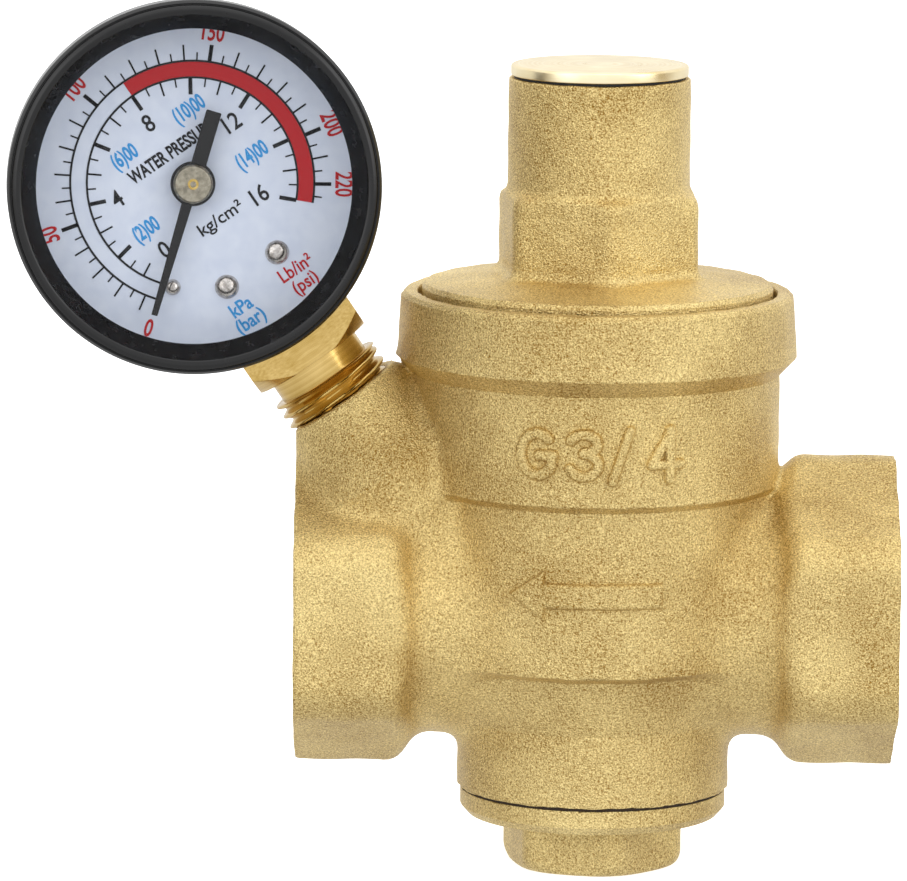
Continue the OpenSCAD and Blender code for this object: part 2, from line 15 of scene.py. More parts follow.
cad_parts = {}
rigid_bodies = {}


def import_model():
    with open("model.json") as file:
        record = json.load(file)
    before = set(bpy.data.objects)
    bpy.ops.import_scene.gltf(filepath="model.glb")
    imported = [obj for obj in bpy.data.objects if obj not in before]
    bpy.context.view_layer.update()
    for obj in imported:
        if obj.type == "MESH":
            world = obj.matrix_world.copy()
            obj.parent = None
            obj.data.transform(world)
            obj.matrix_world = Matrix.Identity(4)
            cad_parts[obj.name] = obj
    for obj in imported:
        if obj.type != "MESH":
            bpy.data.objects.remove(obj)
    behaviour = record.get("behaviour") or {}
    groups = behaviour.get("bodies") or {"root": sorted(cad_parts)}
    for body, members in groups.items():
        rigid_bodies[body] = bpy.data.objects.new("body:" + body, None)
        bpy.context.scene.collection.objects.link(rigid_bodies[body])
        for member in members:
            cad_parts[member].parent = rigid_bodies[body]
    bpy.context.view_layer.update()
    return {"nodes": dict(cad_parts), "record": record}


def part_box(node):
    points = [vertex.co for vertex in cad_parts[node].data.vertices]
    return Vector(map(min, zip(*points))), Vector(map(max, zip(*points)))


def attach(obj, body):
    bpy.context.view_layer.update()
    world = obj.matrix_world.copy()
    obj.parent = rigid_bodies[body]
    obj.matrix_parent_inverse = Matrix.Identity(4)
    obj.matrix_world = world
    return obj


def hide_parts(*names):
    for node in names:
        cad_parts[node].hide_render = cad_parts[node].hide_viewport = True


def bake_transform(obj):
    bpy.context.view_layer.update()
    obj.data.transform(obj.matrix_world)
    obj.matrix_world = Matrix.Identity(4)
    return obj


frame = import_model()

MM = 0.001

# %% [markdown]
# ## Places
# Everything is measured from the loaded pieces: the spindle runs through the top cap, the flow
# axis through the origin, and the gauge's centre is the pivot of its pointer. Shapes are worked
# out in millimetres, and turned to metres when a mesh is made.

# %% Measure the frame
def span(node):
    low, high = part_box(node)
    return np.array(low) / MM, np.array(high) / MM


def middle(node):
    low, high = span(node)
    return (low + high) / 2


spindle_x = middle("top_cap")[0]
pivots = {j["name"]: j for j in frame["record"]["behaviour"]["joints"]}
gauge_centre = np.array(pivots["pointer_turn"]["pos_m"]) / MM
half_length = -spindle_x
floor_z = span("bottom_cap")[0][2]
gauge_tilt, gauge_yaw = 34.5, 5.0
print(f"spindle at x = {spindle_x:.1f} mm, gauge at {gauge_centre.round(1)}")

# %% [markdown]
# ## Camera
# A long lens a little above the flow axis keeps the outline almost square-on, with only the tops
# of the round parts showing. The camera comes first, so that every later look is through it.

# %% Camera
camera_pitch = 9.0
camera_roll = 0.45
camera_distance = 850.0
aim = np.array([spindle_x - 16.05, 0.0, 18.95])
camera_data = bpy.data.cameras.new("camera")
camera_data.sensor_width = 36.0
camera_data.lens = 299.5
camera_data.clip_start = 0.05
camera = bpy.data.objects.new("camera", camera_data)
bpy.context.scene.collection.objects.link(camera)
tilt = math.radians(camera_pitch)
eye = aim + camera_distance * np.array([0, -math.cos(tilt), math.sin(tilt)])
turn = Matrix.Rotation(math.radians(90 - camera_pitch), 4, "X")
camera.matrix_world = (
    Matrix.Translation(Vector(eye * MM)) @ turn @ Matrix.Rotation(math.radians(camera_roll), 4, "Z")
)
bpy.context.scene.camera = camera
bpy.context.scene.view_settings.view_transform = "Standard"
print("camera", camera_distance, "mm away")

# %% [markdown]
# ## Floor and light
# A studio shot of a shiny part is lit by large soft panels, because polished metal shows only
# what it reflects. The world is a pale surround with a dim gap at each side, and the panels left,
# right and above draw the long soft highlights along the barrels.

# %% Node helper
def add(nodes, kind, links=None, sockets=None, **settings):
    """Adds one node with its settings, constant socket values and incoming links."""
    node = nodes.new(kind)
    for name, value in settings.items():
        setattr(node, name, value)
    for name, value in (sockets or {}).items():
        node.inputs[name].default_value = value
    for name, source in (links or {}).items():
        nodes.id_data.links.new(source, node.inputs[name])
    return node


def colour(hex_value):
    """An sRGB hex value as linear red, green, blue and alpha."""
    parts = [int(hex_value[i:i + 2], 16) / 255 for i in (1, 3, 5)]
    return tuple(c / 12.92 if c < 0.04045 else ((c + 0.055) / 1.055) ** 2.4 for c in parts) + (1.0,)


# %% World, panels and floor
world = bpy.data.worlds.new("studio")
bpy.context.scene.world = world
world.use_nodes = True
nodes = world.node_tree.nodes
nodes.clear()
place = add(nodes, "ShaderNodeTexCoord")
split = add(nodes, "ShaderNodeSeparateXYZ", {"Vector": place.outputs["Generated"]})
to_unit = {"From Min": -1.0, "From Max": 1.0}
depth = add(nodes, "ShaderNodeMapRange", {"Value": split.outputs["Y"]}, to_unit)
walls = add(nodes, "ShaderNodeValToRGB", {"Fac": depth.outputs["Result"]})
walls.color_ramp.elements[0].color = colour("#f2f3f5")
walls.color_ramp.elements[1].color = colour("#e4e4e4")
# Dark gaps at both sides, where the white panels end, give round parts their shaded edges
sideways = add(nodes, "ShaderNodeMapRange", {"Value": split.outputs["X"]}, to_unit)
gaps = add(nodes, "ShaderNodeValToRGB", {"Fac": sideways.outputs["Result"]})
for position in (0.02, 0.06, 0.96):
    gaps.color_ramp.elements.new(position)
for element, tone in zip(gaps.color_ramp.elements, ("#8d8374", "#8d8374", "#ffffff", "#ffffff", "#b8ad9b")):
    element.color = colour(tone)
# The ceiling is brighter than the walls, and below the floor's edge it is dim
raised = add(nodes, "ShaderNodeMapRange", {"Value": split.outputs["Z"]},
             {"From Min": -0.6, "From Max": 0.4, "To Min": 1.12, "To Max": 1.38})
shade = add(nodes, "ShaderNodeMix", {6: walls.outputs["Color"], 7: gaps.outputs["Color"]}, {0: 1.0},
            data_type="RGBA", blend_type="MULTIPLY")
sky = add(nodes, "ShaderNodeBackground", {"Color": shade.outputs[2], "Strength": raised.outputs["Result"]})
add(nodes, "ShaderNodeOutputWorld", {"Surface": sky.outputs["Background"]})


def panel(name, where, size, power, warmth="#ffffff"):
    light = bpy.data.lights.new(name, "AREA")
    light.shape = "RECTANGLE"
    light.size, light.size_y = size[0] * MM, size[1] * MM
    light.energy = power
    light.color = colour(warmth)[:3]
    lamp = bpy.data.objects.new(name, light)
    bpy.context.scene.collection.objects.link(lamp)
    target = Vector(aim * MM)
    position = Vector(where) * MM
    lamp.matrix_world = (
        Matrix.Translation(position) @ (target - position).to_track_quat("-Z", "Y").to_matrix().to_4x4()
    )
    return lamp


panel("left_panel", (-560, -520, 300), (420, 620), 0.8)
panel("right_panel", (620, -420, 320), (420, 620), 1.3)
panel("top_panel", (-40, -60, 640), (760, 600), 0.9)

bpy.ops.mesh.primitive_plane_add(size=12.0, location=(0, 0, (floor_z - 0.05) * MM))
floor = bpy.context.object
floor.name = "floor"
floor.visible_diffuse = floor.visible_glossy = False
floor_paint = bpy.data.materials.new("pale_paper")
floor_paint.use_nodes = True
nodes = floor_paint.node_tree.nodes
paper = nodes["Principled BSDF"]
paper.inputs["Base Color"].default_value = colour("#f2f2f2")
paper.inputs["Roughness"].default_value = 0.9
paper.inputs["Specular IOR Level"].default_value = 0.1
paper.inputs["Emission Color"].default_value = colour("#ffffff")
paper.inputs["Emission Strength"].default_value = 0.8
floor.data.materials.append(floor_paint)
print("floor at", round(floor_z, 1), "mm")

# %% [markdown]
# ## Finishes
# Each finish starts from what the surface is. Blasted brass scatters light in small facets, so
# its grain is a bump and a roughness change of about a fifth of a millimetre, drawn a little
# coarser than the real grit so that it shows. Turned brass has fine rings left by the tool.

# %% Material helper
def material(name, base, metallic, roughness, **constants):
    """A new material, its node list and its shader."""
    made = bpy.data.materials.new(name)
    made.use_nodes = True
    shader = made.node_tree.nodes["Principled BSDF"]
    shader.inputs["Base Color"].default_value = colour(base)
    shader.inputs["Metallic"].default_value = metallic
    shader.inputs["Roughness"].default_value = roughness
    for socket, value in constants.items():
        shader.inputs[socket.replace("_", " ")].default_value = value
    return made, made.node_tree.nodes, shader


def object_place(nodes):
    return add(nodes, "ShaderNodeTexCoord").outputs["Object"]


def mixed(nodes, factor, low, high, ends=(0.32, 0.68)):
    ramp = add(nodes, "ShaderNodeValToRGB", {"Fac": factor})
    ramp.color_ramp.elements[0].position, ramp.color_ramp.elements[1].position = ends
    ramp.color_ramp.elements[0].color, ramp.color_ramp.elements[1].color = colour(low), colour(high)
    return ramp.outputs["Color"]


def noise(nodes, place, size_mm, detail=2.0, roughness=0.5):
    """Noise whose features are about size_mm across."""
    return add(nodes, "ShaderNodeTexNoise", {"Vector": place},
               {"Scale": 1 / (size_mm * MM), "Detail": detail, "Roughness": roughness}).outputs["Fac"]


def ranged(nodes, value, low, high):
    return add(nodes, "ShaderNodeMapRange", {"Value": value},
               {"From Min": 0.3, "From Max": 0.7, "To Min": low, "To Max": high}).outputs["Result"]


def bump(nodes, shader, height, depth_mm, strength=1.0, below=None):
    links = {"Height": height}
    if below is not None:
        links["Normal"] = below
    node = add(nodes, "ShaderNodeBump", links, {"Distance": depth_mm * MM, "Strength": strength})
    links = shader.id_data.links
    links.new(node.outputs["Normal"], shader.inputs["Normal"])
    return node.outputs["Normal"]


# %% Blasted brass
def blasted_brass(name, dark, light, grit_mm, depth_mm):
    """Forged brass after sand blasting: every grit mark is a small dull facet."""
    made, nodes, shader = material(name, light, 1.0, 0.42)
    place = object_place(nodes)
    grain = noise(nodes, place, grit_mm, 4.0, 0.65)
    cloud = noise(nodes, place, 14.0, 2.0)
    facets = add(nodes, "ShaderNodeTexVoronoi", {"Vector": place}, {"Scale": 1 / (grit_mm * 0.9 * MM)})
    tone = add(nodes, "ShaderNodeMix", {2: grain, 3: cloud}, {0: 0.22})
    links = made.node_tree.links
    links.new(mixed(nodes, tone.outputs[0], dark, light, (0.36, 0.63)), shader.inputs["Base Color"])
    links.new(ranged(nodes, grain, 0.3, 0.5), shader.inputs["Roughness"])
    below = bump(nodes, shader, facets.outputs["Distance"], depth_mm)
    bump(nodes, shader, grain, depth_mm, 1.0, below)
    return made


cast_brass = blasted_brass("blasted_brass", "#8a6420", "#ffe8a4", 0.19, 0.09)


# %% Turned and polished brass
def turned_brass(name, dark, light, axis_turn, centre, ring_mm, roughness):
    """Brass from the lathe: fine rings round its axis on faces and sides, and cloudy tarnish."""
    made, nodes, shader = material(name, light, 1.0, roughness)
    place = object_place(nodes)
    centred = add(nodes, "ShaderNodeMapping", {"Vector": place}, {
        "Location": tuple(-(axis_turn @ (Vector(centre) * MM))),
        "Rotation": tuple(axis_turn.to_euler()),
    }).outputs["Vector"]
    flat = add(nodes, "ShaderNodeVectorMath", {0: centred}, {1: (1.0, 1.0, 0.0)}, operation="MULTIPLY")
    out = add(nodes, "ShaderNodeVectorMath", {0: flat.outputs["Vector"]}, operation="LENGTH")
    height = add(nodes, "ShaderNodeSeparateXYZ", {"Vector": centred})
    section = add(nodes, "ShaderNodeCombineXYZ", {"X": out.outputs["Value"], "Z": height.outputs["Z"]})
    rings = noise(nodes, section.outputs["Vector"], ring_mm, 2.0)
    cloud = noise(nodes, place, 4.0, 3.0)
    both = add(nodes, "ShaderNodeMath", {0: rings, 1: cloud}, operation="ADD")
    half = add(nodes, "ShaderNodeMath", {0: both.outputs[0]}, {1: 0.5}, operation="MULTIPLY")
    links = made.node_tree.links
    links.new(mixed(nodes, half.outputs[0], dark, light), shader.inputs["Base Color"])
    links.new(ranged(nodes, cloud, roughness * 0.8, roughness * 1.25), shader.inputs["Roughness"])
    bump(nodes, shader, rings, 0.012, 0.6)
    return made


upright = Matrix.Identity(3)
stem_turn = Matrix.Rotation(math.radians(gauge_tilt), 3, "Y")
flow_turn = Matrix.Rotation(math.radians(90), 3, "Y")
cap_brass = turned_brass("turned_brass", "#e9d096", "#fdf3d2", upright, (spindle_x, 0, 0), 0.3, 0.3)
socket_brass = turned_brass("polished_brass", "#b3924a", "#dabb78", stem_turn, tuple(gauge_centre), 0.3, 0.2)
thread_brass = turned_brass("cut_thread_brass", "#d2a74e", "#f2d184", flow_turn, (0, 0, 0), 0.3, 0.28)
spindle_brass = turned_brass("bored_brass", "#d2a74e", "#efce82", upright, (spindle_x, 0, 0), 0.3, 0.3)


# %% Plain finishes
def speckled(name, dark, light, metallic, roughness, grain_mm, depth_mm, **constants):
    """A finish whose tone, gloss and surface vary a little with a fine grain."""
    made, nodes, shader = material(name, light, metallic, roughness, **constants)
    place = object_place(nodes)
    grain = noise(nodes, place, grain_mm, 3.0)
    links = made.node_tree.links
    links.new(mixed(nodes, grain, dark, light), shader.inputs["Base Color"])
    links.new(ranged(nodes, grain, roughness * 0.85, roughness * 1.2), shader.inputs["Roughness"])
    bump(nodes, shader, grain, depth_mm, 0.7)
    return made


bezel_paint = speckled("gloss_black_enamel", "#050505", "#090808", 0.0, 0.24, 1.2, 0.006,
                       Specular_IOR_Level=0.42)
case_zinc = speckled("zinc_plated_steel", "#dcdcda", "#f0f0ee", 1.0, 0.28, 0.8, 0.008)
screw_steel = speckled("nickel_plated_steel", "#a9a29b", "#dcd7d2", 1.0, 0.22, 0.5, 0.006)
spring_steel = speckled("oiled_spring_wire", "#4b4d50", "#7d7f83", 1.0, 0.3, 0.4, 0.01)
pointer_paint = speckled("satin_black_paint", "#101011", "#1b1b1d", 0.0, 0.38, 0.3, 0.006)
hub_metal = speckled("aged_nickel_brass", "#8d8778", "#b9b2a0", 1.0, 0.34, 0.5, 0.01)
seal_rubber = speckled("moulded_nitrile", "#0d0d0d", "#1a1a1a", 0.0, 0.6, 0.4, 0.02)
seal_fibre = speckled("pressed_fibre", "#241a10", "#3a2c1c", 0.0, 0.85, 0.3, 0.03)
plate_brass = speckled("stamped_brass", "#c9a85c", "#e8cd88", 1.0, 0.3, 0.6, 0.008)
tube_bronze = speckled("drawn_bronze", "#a8703c", "#cf9a60", 1.0, 0.26, 0.7, 0.008)
dial_paint = speckled("dial_enamel", "#d6dff1", "#e0e8f7", 0.0, 0.45, 1.5, 0.004)
ink_black = speckled("black_ink", "#15161a", "#202127", 0.0, 0.6, 0.2, 0.002)
ink_red = speckled("red_ink", "#b81019", "#c71a24", 0.0, 0.55, 0.2, 0.002)
ink_blue = speckled("blue_ink", "#2c8fd4", "#3fa2e2", 0.0, 0.55, 0.2, 0.002)

# A clear window barely tints what is behind it, so it is nearly transparent with a faint sheen
lens_glass, nodes, shader = material("clear_polystyrene", "#05070a", 0.0, 0.04, IOR=1.49, Alpha=0.06)
bump(nodes, shader, noise(nodes, object_place(nodes), 6.0), 0.01, 0.2)
print(len(bpy.data.materials), "finishes")

# %% [markdown]
# ## Pieces from a distance rule
# A forging has no sharp inside corners: every place where two volumes meet is filled with a
# small fillet. Booleans leave hard creases, so the castings are described by a distance rule, a
# function that says how far any point is from the surface. Two volumes are joined with a soft
# minimum, which makes the fillet by itself. The surface is then read off on a grid. Each grid
# cell that the surface crosses gets one point, placed where the tangent planes of its crossings
# meet, so machined edges stay straight and sharp while the fillets stay smooth.

# %% Surface of a distance rule
def slope(distance, points, step):
    """Unit direction in which the distance grows fastest."""
    grown = []
    for axis in range(3):
        shift = np.zeros(3)
        shift[axis] = step
        grown.append(distance(points + shift) - distance(points - shift))
    grown = np.stack(grown, -1)
    return grown / np.maximum(np.linalg.norm(grown, axis=-1), 1e-9)[:, None]


def surface(distance, low, high, cell):
    """Points (mm), faces and corner normals of the surface where distance(points) is zero."""
    axes = [np.arange(low[i] - cell * 1.5, high[i] + cell * 2.5, cell) for i in range(3)]
    origin = np.array([axis[0] for axis in axes])
    value = distance(np.stack(np.meshgrid(*axes, indexing="ij"), -1)).astype(np.float32)
    inside = value < 0
    size = [n - 1 for n in value.shape]
    count = sum(
        inside[i:i + size[0], j:j + size[1], k:k + size[2]].astype(np.int8)
        for i in (0, 1) for j in (0, 1) for k in (0, 1))
    cells = np.argwhere((count > 0) & (count < 8))
    number = np.full(size, -1, np.int64)
    number[tuple(cells.T)] = np.arange(len(cells))
    sums = np.zeros((13, len(cells)))
    faces = []
    for axis in range(3):
        first, second = [slice(None)] * 3, [slice(None)] * 3
        first[axis], second[axis] = slice(0, -1), slice(1, None)
        edges = np.argwhere(inside[tuple(first)] != inside[tuple(second)])
        ahead = edges.copy()
        ahead[:, axis] += 1
        v0, v1 = value[tuple(edges.T)], value[tuple(ahead.T)]
        crossing = edges.astype(float)
        crossing[:, axis] += v0 / (v0 - v1)
        crossing = origin + cell * crossing
        n = slope(distance, crossing, cell * 0.04)
        reach = (n * crossing).sum(-1)
        parts = [n[:, 0] * n[:, 0], n[:, 0] * n[:, 1], n[:, 0] * n[:, 2], n[:, 1] * n[:, 1],
                 n[:, 1] * n[:, 2], n[:, 2] * n[:, 2], *(n * reach[:, None]).T, *crossing.T,
                 np.ones(len(edges))]
        around = []
        for du, dv in ((-1, -1), (0, -1), (0, 0), (-1, 0)):
            at = edges.copy()
            at[:, (axis + 1) % 3] += du
            at[:, (axis + 2) % 3] += dv
            around.append(number[tuple(at.T)])
            for k, part in enumerate(parts):
                sums[k] += np.bincount(around[-1], part, len(cells))
        quads = np.stack(around, -1)
        flip = ~inside[tuple(edges.T)]
        quads[flip] = quads[flip][:, ::-1]
        faces.append(quads)
    faces = np.concatenate(faces)
    # Least squares meeting point of the tangent planes, held near the middle of the crossings
    square = sums[[0, 1, 2, 1, 3, 4, 2, 4, 5]].T.reshape(-1, 3, 3) + 0.06 * np.eye(3)
    centre = (sums[9:12] / sums[12]).T
    right = sums[6:9].T + 0.06 * centre
    points = np.linalg.solve(square, right[..., None])[..., 0]
    points = centre + np.clip(points - centre, -cell * 0.8, cell * 0.8)
    middle_of = points[faces].mean(1)[:, None]
    corners = (points[faces] * 0.72 + middle_of * 0.28).reshape(-1, 3)
    return points, faces, slope(distance, corners, cell * 0.04)


# %% Distance rules for simple volumes
def soft_min(a, b, k):
    blend = np.maximum(k - np.abs(a - b), 0)
    return np.minimum(a, b) - blend ** 2 / (4 * k)


def soft_max(a, b, k):
    return -soft_min(-a, -b, k)


def prism(u, v, across_flats, sides, first, k):
    """Straight prism: the furthest of its flats, with its edges rounded by k."""
    result = None
    for i in range(sides):
        angle = math.radians(first + 360 * i / sides)
        flat = u * math.cos(angle) + v * math.sin(angle) - across_flats / 2
        result = flat if result is None else soft_max(result, flat, k)
    return result


def turned_rule(r, z, outline):
    """Distance to a turned solid whose half outline is a closed polygon of (r, z) points."""
    best, odd = np.full(r.shape, 1e9), np.zeros(r.shape, bool)
    for (r0, z0), (r1, z1) in zip(outline, outline[1:] + outline[:1]):
        er, ez = r1 - r0, z1 - z0
        along = np.clip(((r - r0) * er + (z - z0) * ez) / (er * er + ez * ez), 0, 1)
        if not (r0 == 0 and r1 == 0):
            best = np.minimum(best, (r - r0 - along * er) ** 2 + (z - z0 - along * ez) ** 2)
        if z0 != z1:
            odd ^= ((z0 > z) != (z1 > z)) & (r < r0 + (z - z0) * er / ez)
    return np.where(odd, -1, 1) * np.sqrt(best)


# %% Mesh helpers
def piece(name, points, faces, body, finish, slot, replaces=(), normals=None, sharp=None):
    """A mesh piece from points in millimetres, riding on a body, or on none."""
    mesh = bpy.data.meshes.new(name)
    mesh.from_pydata((np.asarray(points) * MM).tolist(), [], [list(f) for f in faces])
    mesh.shade_smooth()
    if sharp is not None:
        mesh.set_sharp_from_angle(angle=math.radians(sharp))
    if normals is not None:
        mesh.normals_split_custom_set(normals.tolist())
    made = bpy.data.objects.new(name, mesh)
    bpy.context.scene.collection.objects.link(made)
    for one in finish if isinstance(finish, (list, tuple)) else [finish]:
        mesh.materials.append(one)
    if body:
        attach(made, body)
    if replaces:
        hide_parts(*replaces)
    return made


def rounded(outline, radius, steps=5, closed=True):
    """Replaces each corner of an outline with an arc; radius is one value or one per corner."""
    points = [np.array(p, float) for p in outline]
    result = []
    for i, corner in enumerate(points):
        r = radius[i] if isinstance(radius, (list, tuple)) else radius
        ends = not closed and i in (0, len(points) - 1)
        if ends or r <= 0:
            result.append(corner)
            continue
        back, ahead = points[i - 1] - corner, points[(i + 1) % len(points)] - corner
        lb, la = np.linalg.norm(back), np.linalg.norm(ahead)
        back, ahead = back / lb, ahead / la
        half = math.acos(np.clip(back @ ahead, -1, 1)) / 2
        reach = min(r / math.tan(half), lb * 0.49, la * 0.49)
        r = reach * math.tan(half)
        centre = corner + (back + ahead) / np.linalg.norm(back + ahead) * r / math.sin(half)
        start, end = corner + back * reach - centre, corner + ahead * reach - centre
        for s in range(steps + 1):
            f = s / steps
            spoke = start * (1 - f) + end * f
            result.append(centre + spoke / np.linalg.norm(spoke) * r)
    return np.array(result)


def groove(turns):
    """Depth of a rounded V thread: 0 on the crest, 1 in the root."""
    climb = np.abs(2 * (turns % 1) - 1)
    return climb * climb * (3 - 2 * climb)


def threaded(r, z0, z1, pitch, depth, runout=0.6):
    """Rows (r, z, depth, pitch) of an outline that carries a thread, faded in and out at its ends."""
    steps = max(int(abs(z1 - z0) / pitch * 10), 4)
    rows = []
    for i in range(steps + 1):
        z = z0 + (z1 - z0) * i / steps
        fade = min(min(i, steps - i) / steps * abs(z1 - z0) / (runout * pitch), 1)
        rows.append((r, z, depth * fade, pitch))
    return rows


def revolve(outline, count=96):
    """Points and faces of a closed outline turned about Z. Rows are (r, z) or threaded rows."""
    rows = [tuple(row) + (0.0, 1.0) * (len(row) == 2) for row in map(tuple, outline)]
    angle = 2 * math.pi * np.arange(count) / count
    points, rings = [], []
    for r, z, depth, pitch in rows:
        start = len(points)
        if r < 1e-6:
            points.append((0.0, 0.0, z))
            rings.append([start] * count)
            continue
        reach = r - depth * groove(z / pitch - angle / (2 * math.pi))
        points += np.stack([reach * np.cos(angle), reach * np.sin(angle), np.full(count, z)], -1).tolist()
        rings.append(list(range(start, start + count)))
    faces = []
    for k, here in enumerate(rings):
        there = rings[(k + 1) % len(rings)]
        for i in range(count):
            j = (i + 1) % count
            ring = list(dict.fromkeys([here[i], here[j], there[j], there[i]]))
            if len(ring) > 2:
                faces.append(ring)
    points = np.array(points)
    area = sum(r0 * z1 - r1 * z0 for (r0, z0, *_), (r1, z1, *_) in zip(rows, rows[1:] + rows[:1]))
    return points, [f[::-1] for f in faces] if area < 0 else faces


def joined(parts):
    """Several (points, faces) as one."""
    points, faces, start = [], [], 0
    for one_points, one_faces in parts:
        points.append(np.asarray(one_points, float))
        faces += [[i + start for i in face] for face in one_faces]
        start += len(one_points)
    return np.concatenate(points), faces


def moved(points, matrix):
    return np.asarray(points) @ np.array(matrix.to_3x3()).T + np.array(matrix.translation)


on_spindle = Matrix.Translation((spindle_x, 0, 0))
on_gauge = (
    Matrix.Translation(Vector(gauge_centre))
    @ Matrix.Rotation(math.radians(-gauge_tilt), 4, "Y")
    @ Matrix.Rotation(math.radians(90), 4, "X")
    @ Matrix.Rotation(math.radians(gauge_yaw), 4, "Y")
)
print("helpers ready")

# %% [markdown]
# ## Valve body
# The forging is a bowl, two barrels and a collar on the spindle axis, crossed by the flow tube
# with a hexagon on each end, and a boss for the gauge. Inside are the two chambers with the seat
# between them. The ports and the boss are cut after the soft joins, so their edges stay crisp.

# %% Body sizes
tube_r, bowl_r, lower_r, upper_r = 14.2, 15.2, 19.3, 20.4
collar_r, rim_z = 22.3, span("body")[1][2]
hex_af, hex_inner = 32.0, half_length - 11.4
port_r, port_depth = 13.25, 14.0
boss_face = 29.6
seal_z = span("bottom_gasket")[1][2]
body_outline = [
    (0, seal_z), (bowl_r, seal_z), (bowl_r, -12), (17.4, -5.4), (lower_r, -4.6), (lower_r, 14),
    (upper_r, 14.8), (upper_r, 27.1), (collar_r, 29), (collar_r - 0.4, rim_z - 0.4),
    (collar_r - 0.8, rim_z), (0, rim_z),
]
cavity_outline = [
    (0, seal_z - 2), (13.0, seal_z - 2), (13.0, -14), (12, -14), (12, -2.5), (8.2, -2.5), (8.2, -3.4),
    (7, -3.4), (7, 1.5), (12, 1.5), (12, 10.9), (16, 10.9), (16, 25.5), (18.2, 25.5), (18.2, 34),
    (20.15, 34), (20.15, rim_z + 2), (0, rim_z + 2),
]


# %% Body rule
def boss_place(p):
    """Radius and height in the gauge boss's own frame, with 0 at its face."""
    angle = math.radians(gauge_tilt)
    dx, dz = p[..., 0] - gauge_centre[0], p[..., 2] - gauge_centre[2]
    along = -dx * math.sin(angle) + dz * math.cos(angle) + boss_face
    side = dx * math.cos(angle) + dz * math.sin(angle)
    return np.hypot(side, p[..., 1]), along


def body_rule(p):
    x, y, z = p[..., 0] - spindle_x, p[..., 1], p[..., 2]
    r = np.hypot(x, y)
    flow_r = np.hypot(y, z)
    shell = turned_rule(r, z, body_outline) - 0.15
    tube = soft_max(flow_r - tube_r, np.abs(x) - half_length + 6, 1.0)
    hexes = prism(y, z, hex_af, 6, 0, 2.4)
    hexes = soft_max(hexes, flow_r - 17.85, 0.8)
    cone = (flow_r - tube_r - 1.5 * (np.abs(x) - hex_inner + 2.4)) / 1.8
    hexes = soft_max(soft_max(hexes, cone, 1.2), hex_inner - 3.4 - np.abs(x), 0.5)
    boss_r, boss_z = boss_place(p)
    flare = 7.15 + 0.42 * np.clip(-boss_z, 0, 9) + 0.012 * np.clip(-boss_z, 0, 9) ** 2
    boss = soft_max((boss_r - flare) * 0.9, np.maximum(boss_z, -24 - boss_z), 0.35)
    solid = soft_min(shell, tube, 2.2)
    solid = soft_min(solid, boss, 1.8)
    solid = soft_min(solid, hexes, 1.4)
    solid = soft_max(solid, np.abs(x) - half_length, 0.35)
    cast_wave = 0.05 * np.sin(x * 0.9 + 1.3 * np.sin(z * 0.7)) * np.sin(y * 0.8 + z * 0.6)
    solid = solid + cast_wave
    # Chambers, passages, ports and the gauge port
    cavity = turned_rule(r, z, cavity_outline)
    mouth = (flow_r - port_r - 1.0 + half_length - np.abs(x)) * 0.7
    ports = np.maximum(np.minimum(flow_r - port_r, mouth), half_length - port_depth - np.abs(x))
    inlet = np.maximum(flow_r - 9, np.maximum(z + 2.5, np.maximum(-x, x - 22)))
    outlet = np.maximum(flow_r - 9, np.maximum(1.5 - z, np.maximum(x, -x - 22)))
    gauge_port = np.minimum(
        np.maximum(boss_r - 6.2, -9.6 - boss_z), np.maximum(boss_r - 1.5, -26 - boss_z))
    hollow = np.minimum.reduce([cavity, ports, inlet, outlet, np.maximum(gauge_port, boss_z - 2)])
    return soft_max(solid, -hollow, 0.3)


# %% Body mesh
low, high = span("body")
points, faces, normals = surface(body_rule, low - 0.5, high + 0.5, 0.53)
piece("valve_casting", points, faces, "valve_body", cast_brass, "cast_brass", ["body"], normals)
print("body:", len(faces), "faces")

# %% [markdown]
# ## Cast marks
# The size and the flow arrow stand proud of the barrels, with the soft draft of a die. They are
# small, so they get a finer grid of their own: strokes of even width, wrapped on the barrel.

# %% Mark rules
def stroke_rule(u, v, path, width):
    """Distance to a line of even width drawn through a path of points."""
    best = np.full(u.shape, 1e9)
    for (u0, v0), (u1, v1) in zip(path, path[1:]):
        du, dv = u1 - u0, v1 - v0
        along = np.clip(((u - u0) * du + (v - v0) * dv) / max(du * du + dv * dv, 1e-9), 0, 1)
        best = np.minimum(best, np.hypot(u - u0 - along * du, v - v0 - along * dv))
    return best - width / 2


def bend(centre, rx, rz, first, last, count=12):
    return [(centre[0] + rx * math.cos(math.radians(first + (last - first) * i / count)),
             centre[1] + rz * math.sin(math.radians(first + (last - first) * i / count)))
            for i in range(count + 1)]


def proud(p, barrel_r, mark, relief):
    """Turns a flat mark into one that stands proud of a barrel round the spindle."""
    x, y, z = p[..., 0] - spindle_x, p[..., 1], p[..., 2]
    r = np.hypot(x, y)
    side = barrel_r * np.arctan2(x, np.maximum(-y, 1e-6))
    flare = (barrel_r + relief - r) * 0.35
    wall = soft_max(mark(side, z) - flare, r - barrel_r - relief, 0.35)
    return np.maximum(wall, barrel_r - 0.6 - r)


letter_strokes = [
    (bend((-6.9, 20.6), 1.9, 2.35, 48, 325) + [(-5.1, 20.5), (-6.7, 20.5)], 1.0),
    (bend((-1.7, 21.9), 1.5, 1.05, 160, -90), 1.0),
    (bend((-1.7, 19.55), 1.6, 1.3, 90, -160), 1.0),
    ([(1.5, 17.7), (3.4, 23.4)], 0.85),
    ([(8.0, 17.9), (8.0, 23.3)], 1.0),
    ([(7.9, 22.9), (5.8, 19.5), (9.3, 19.5)], 0.9),
]


def size_mark(u, v):
    return np.minimum.reduce([stroke_rule(u, v, path, width) for path, width in letter_strokes])


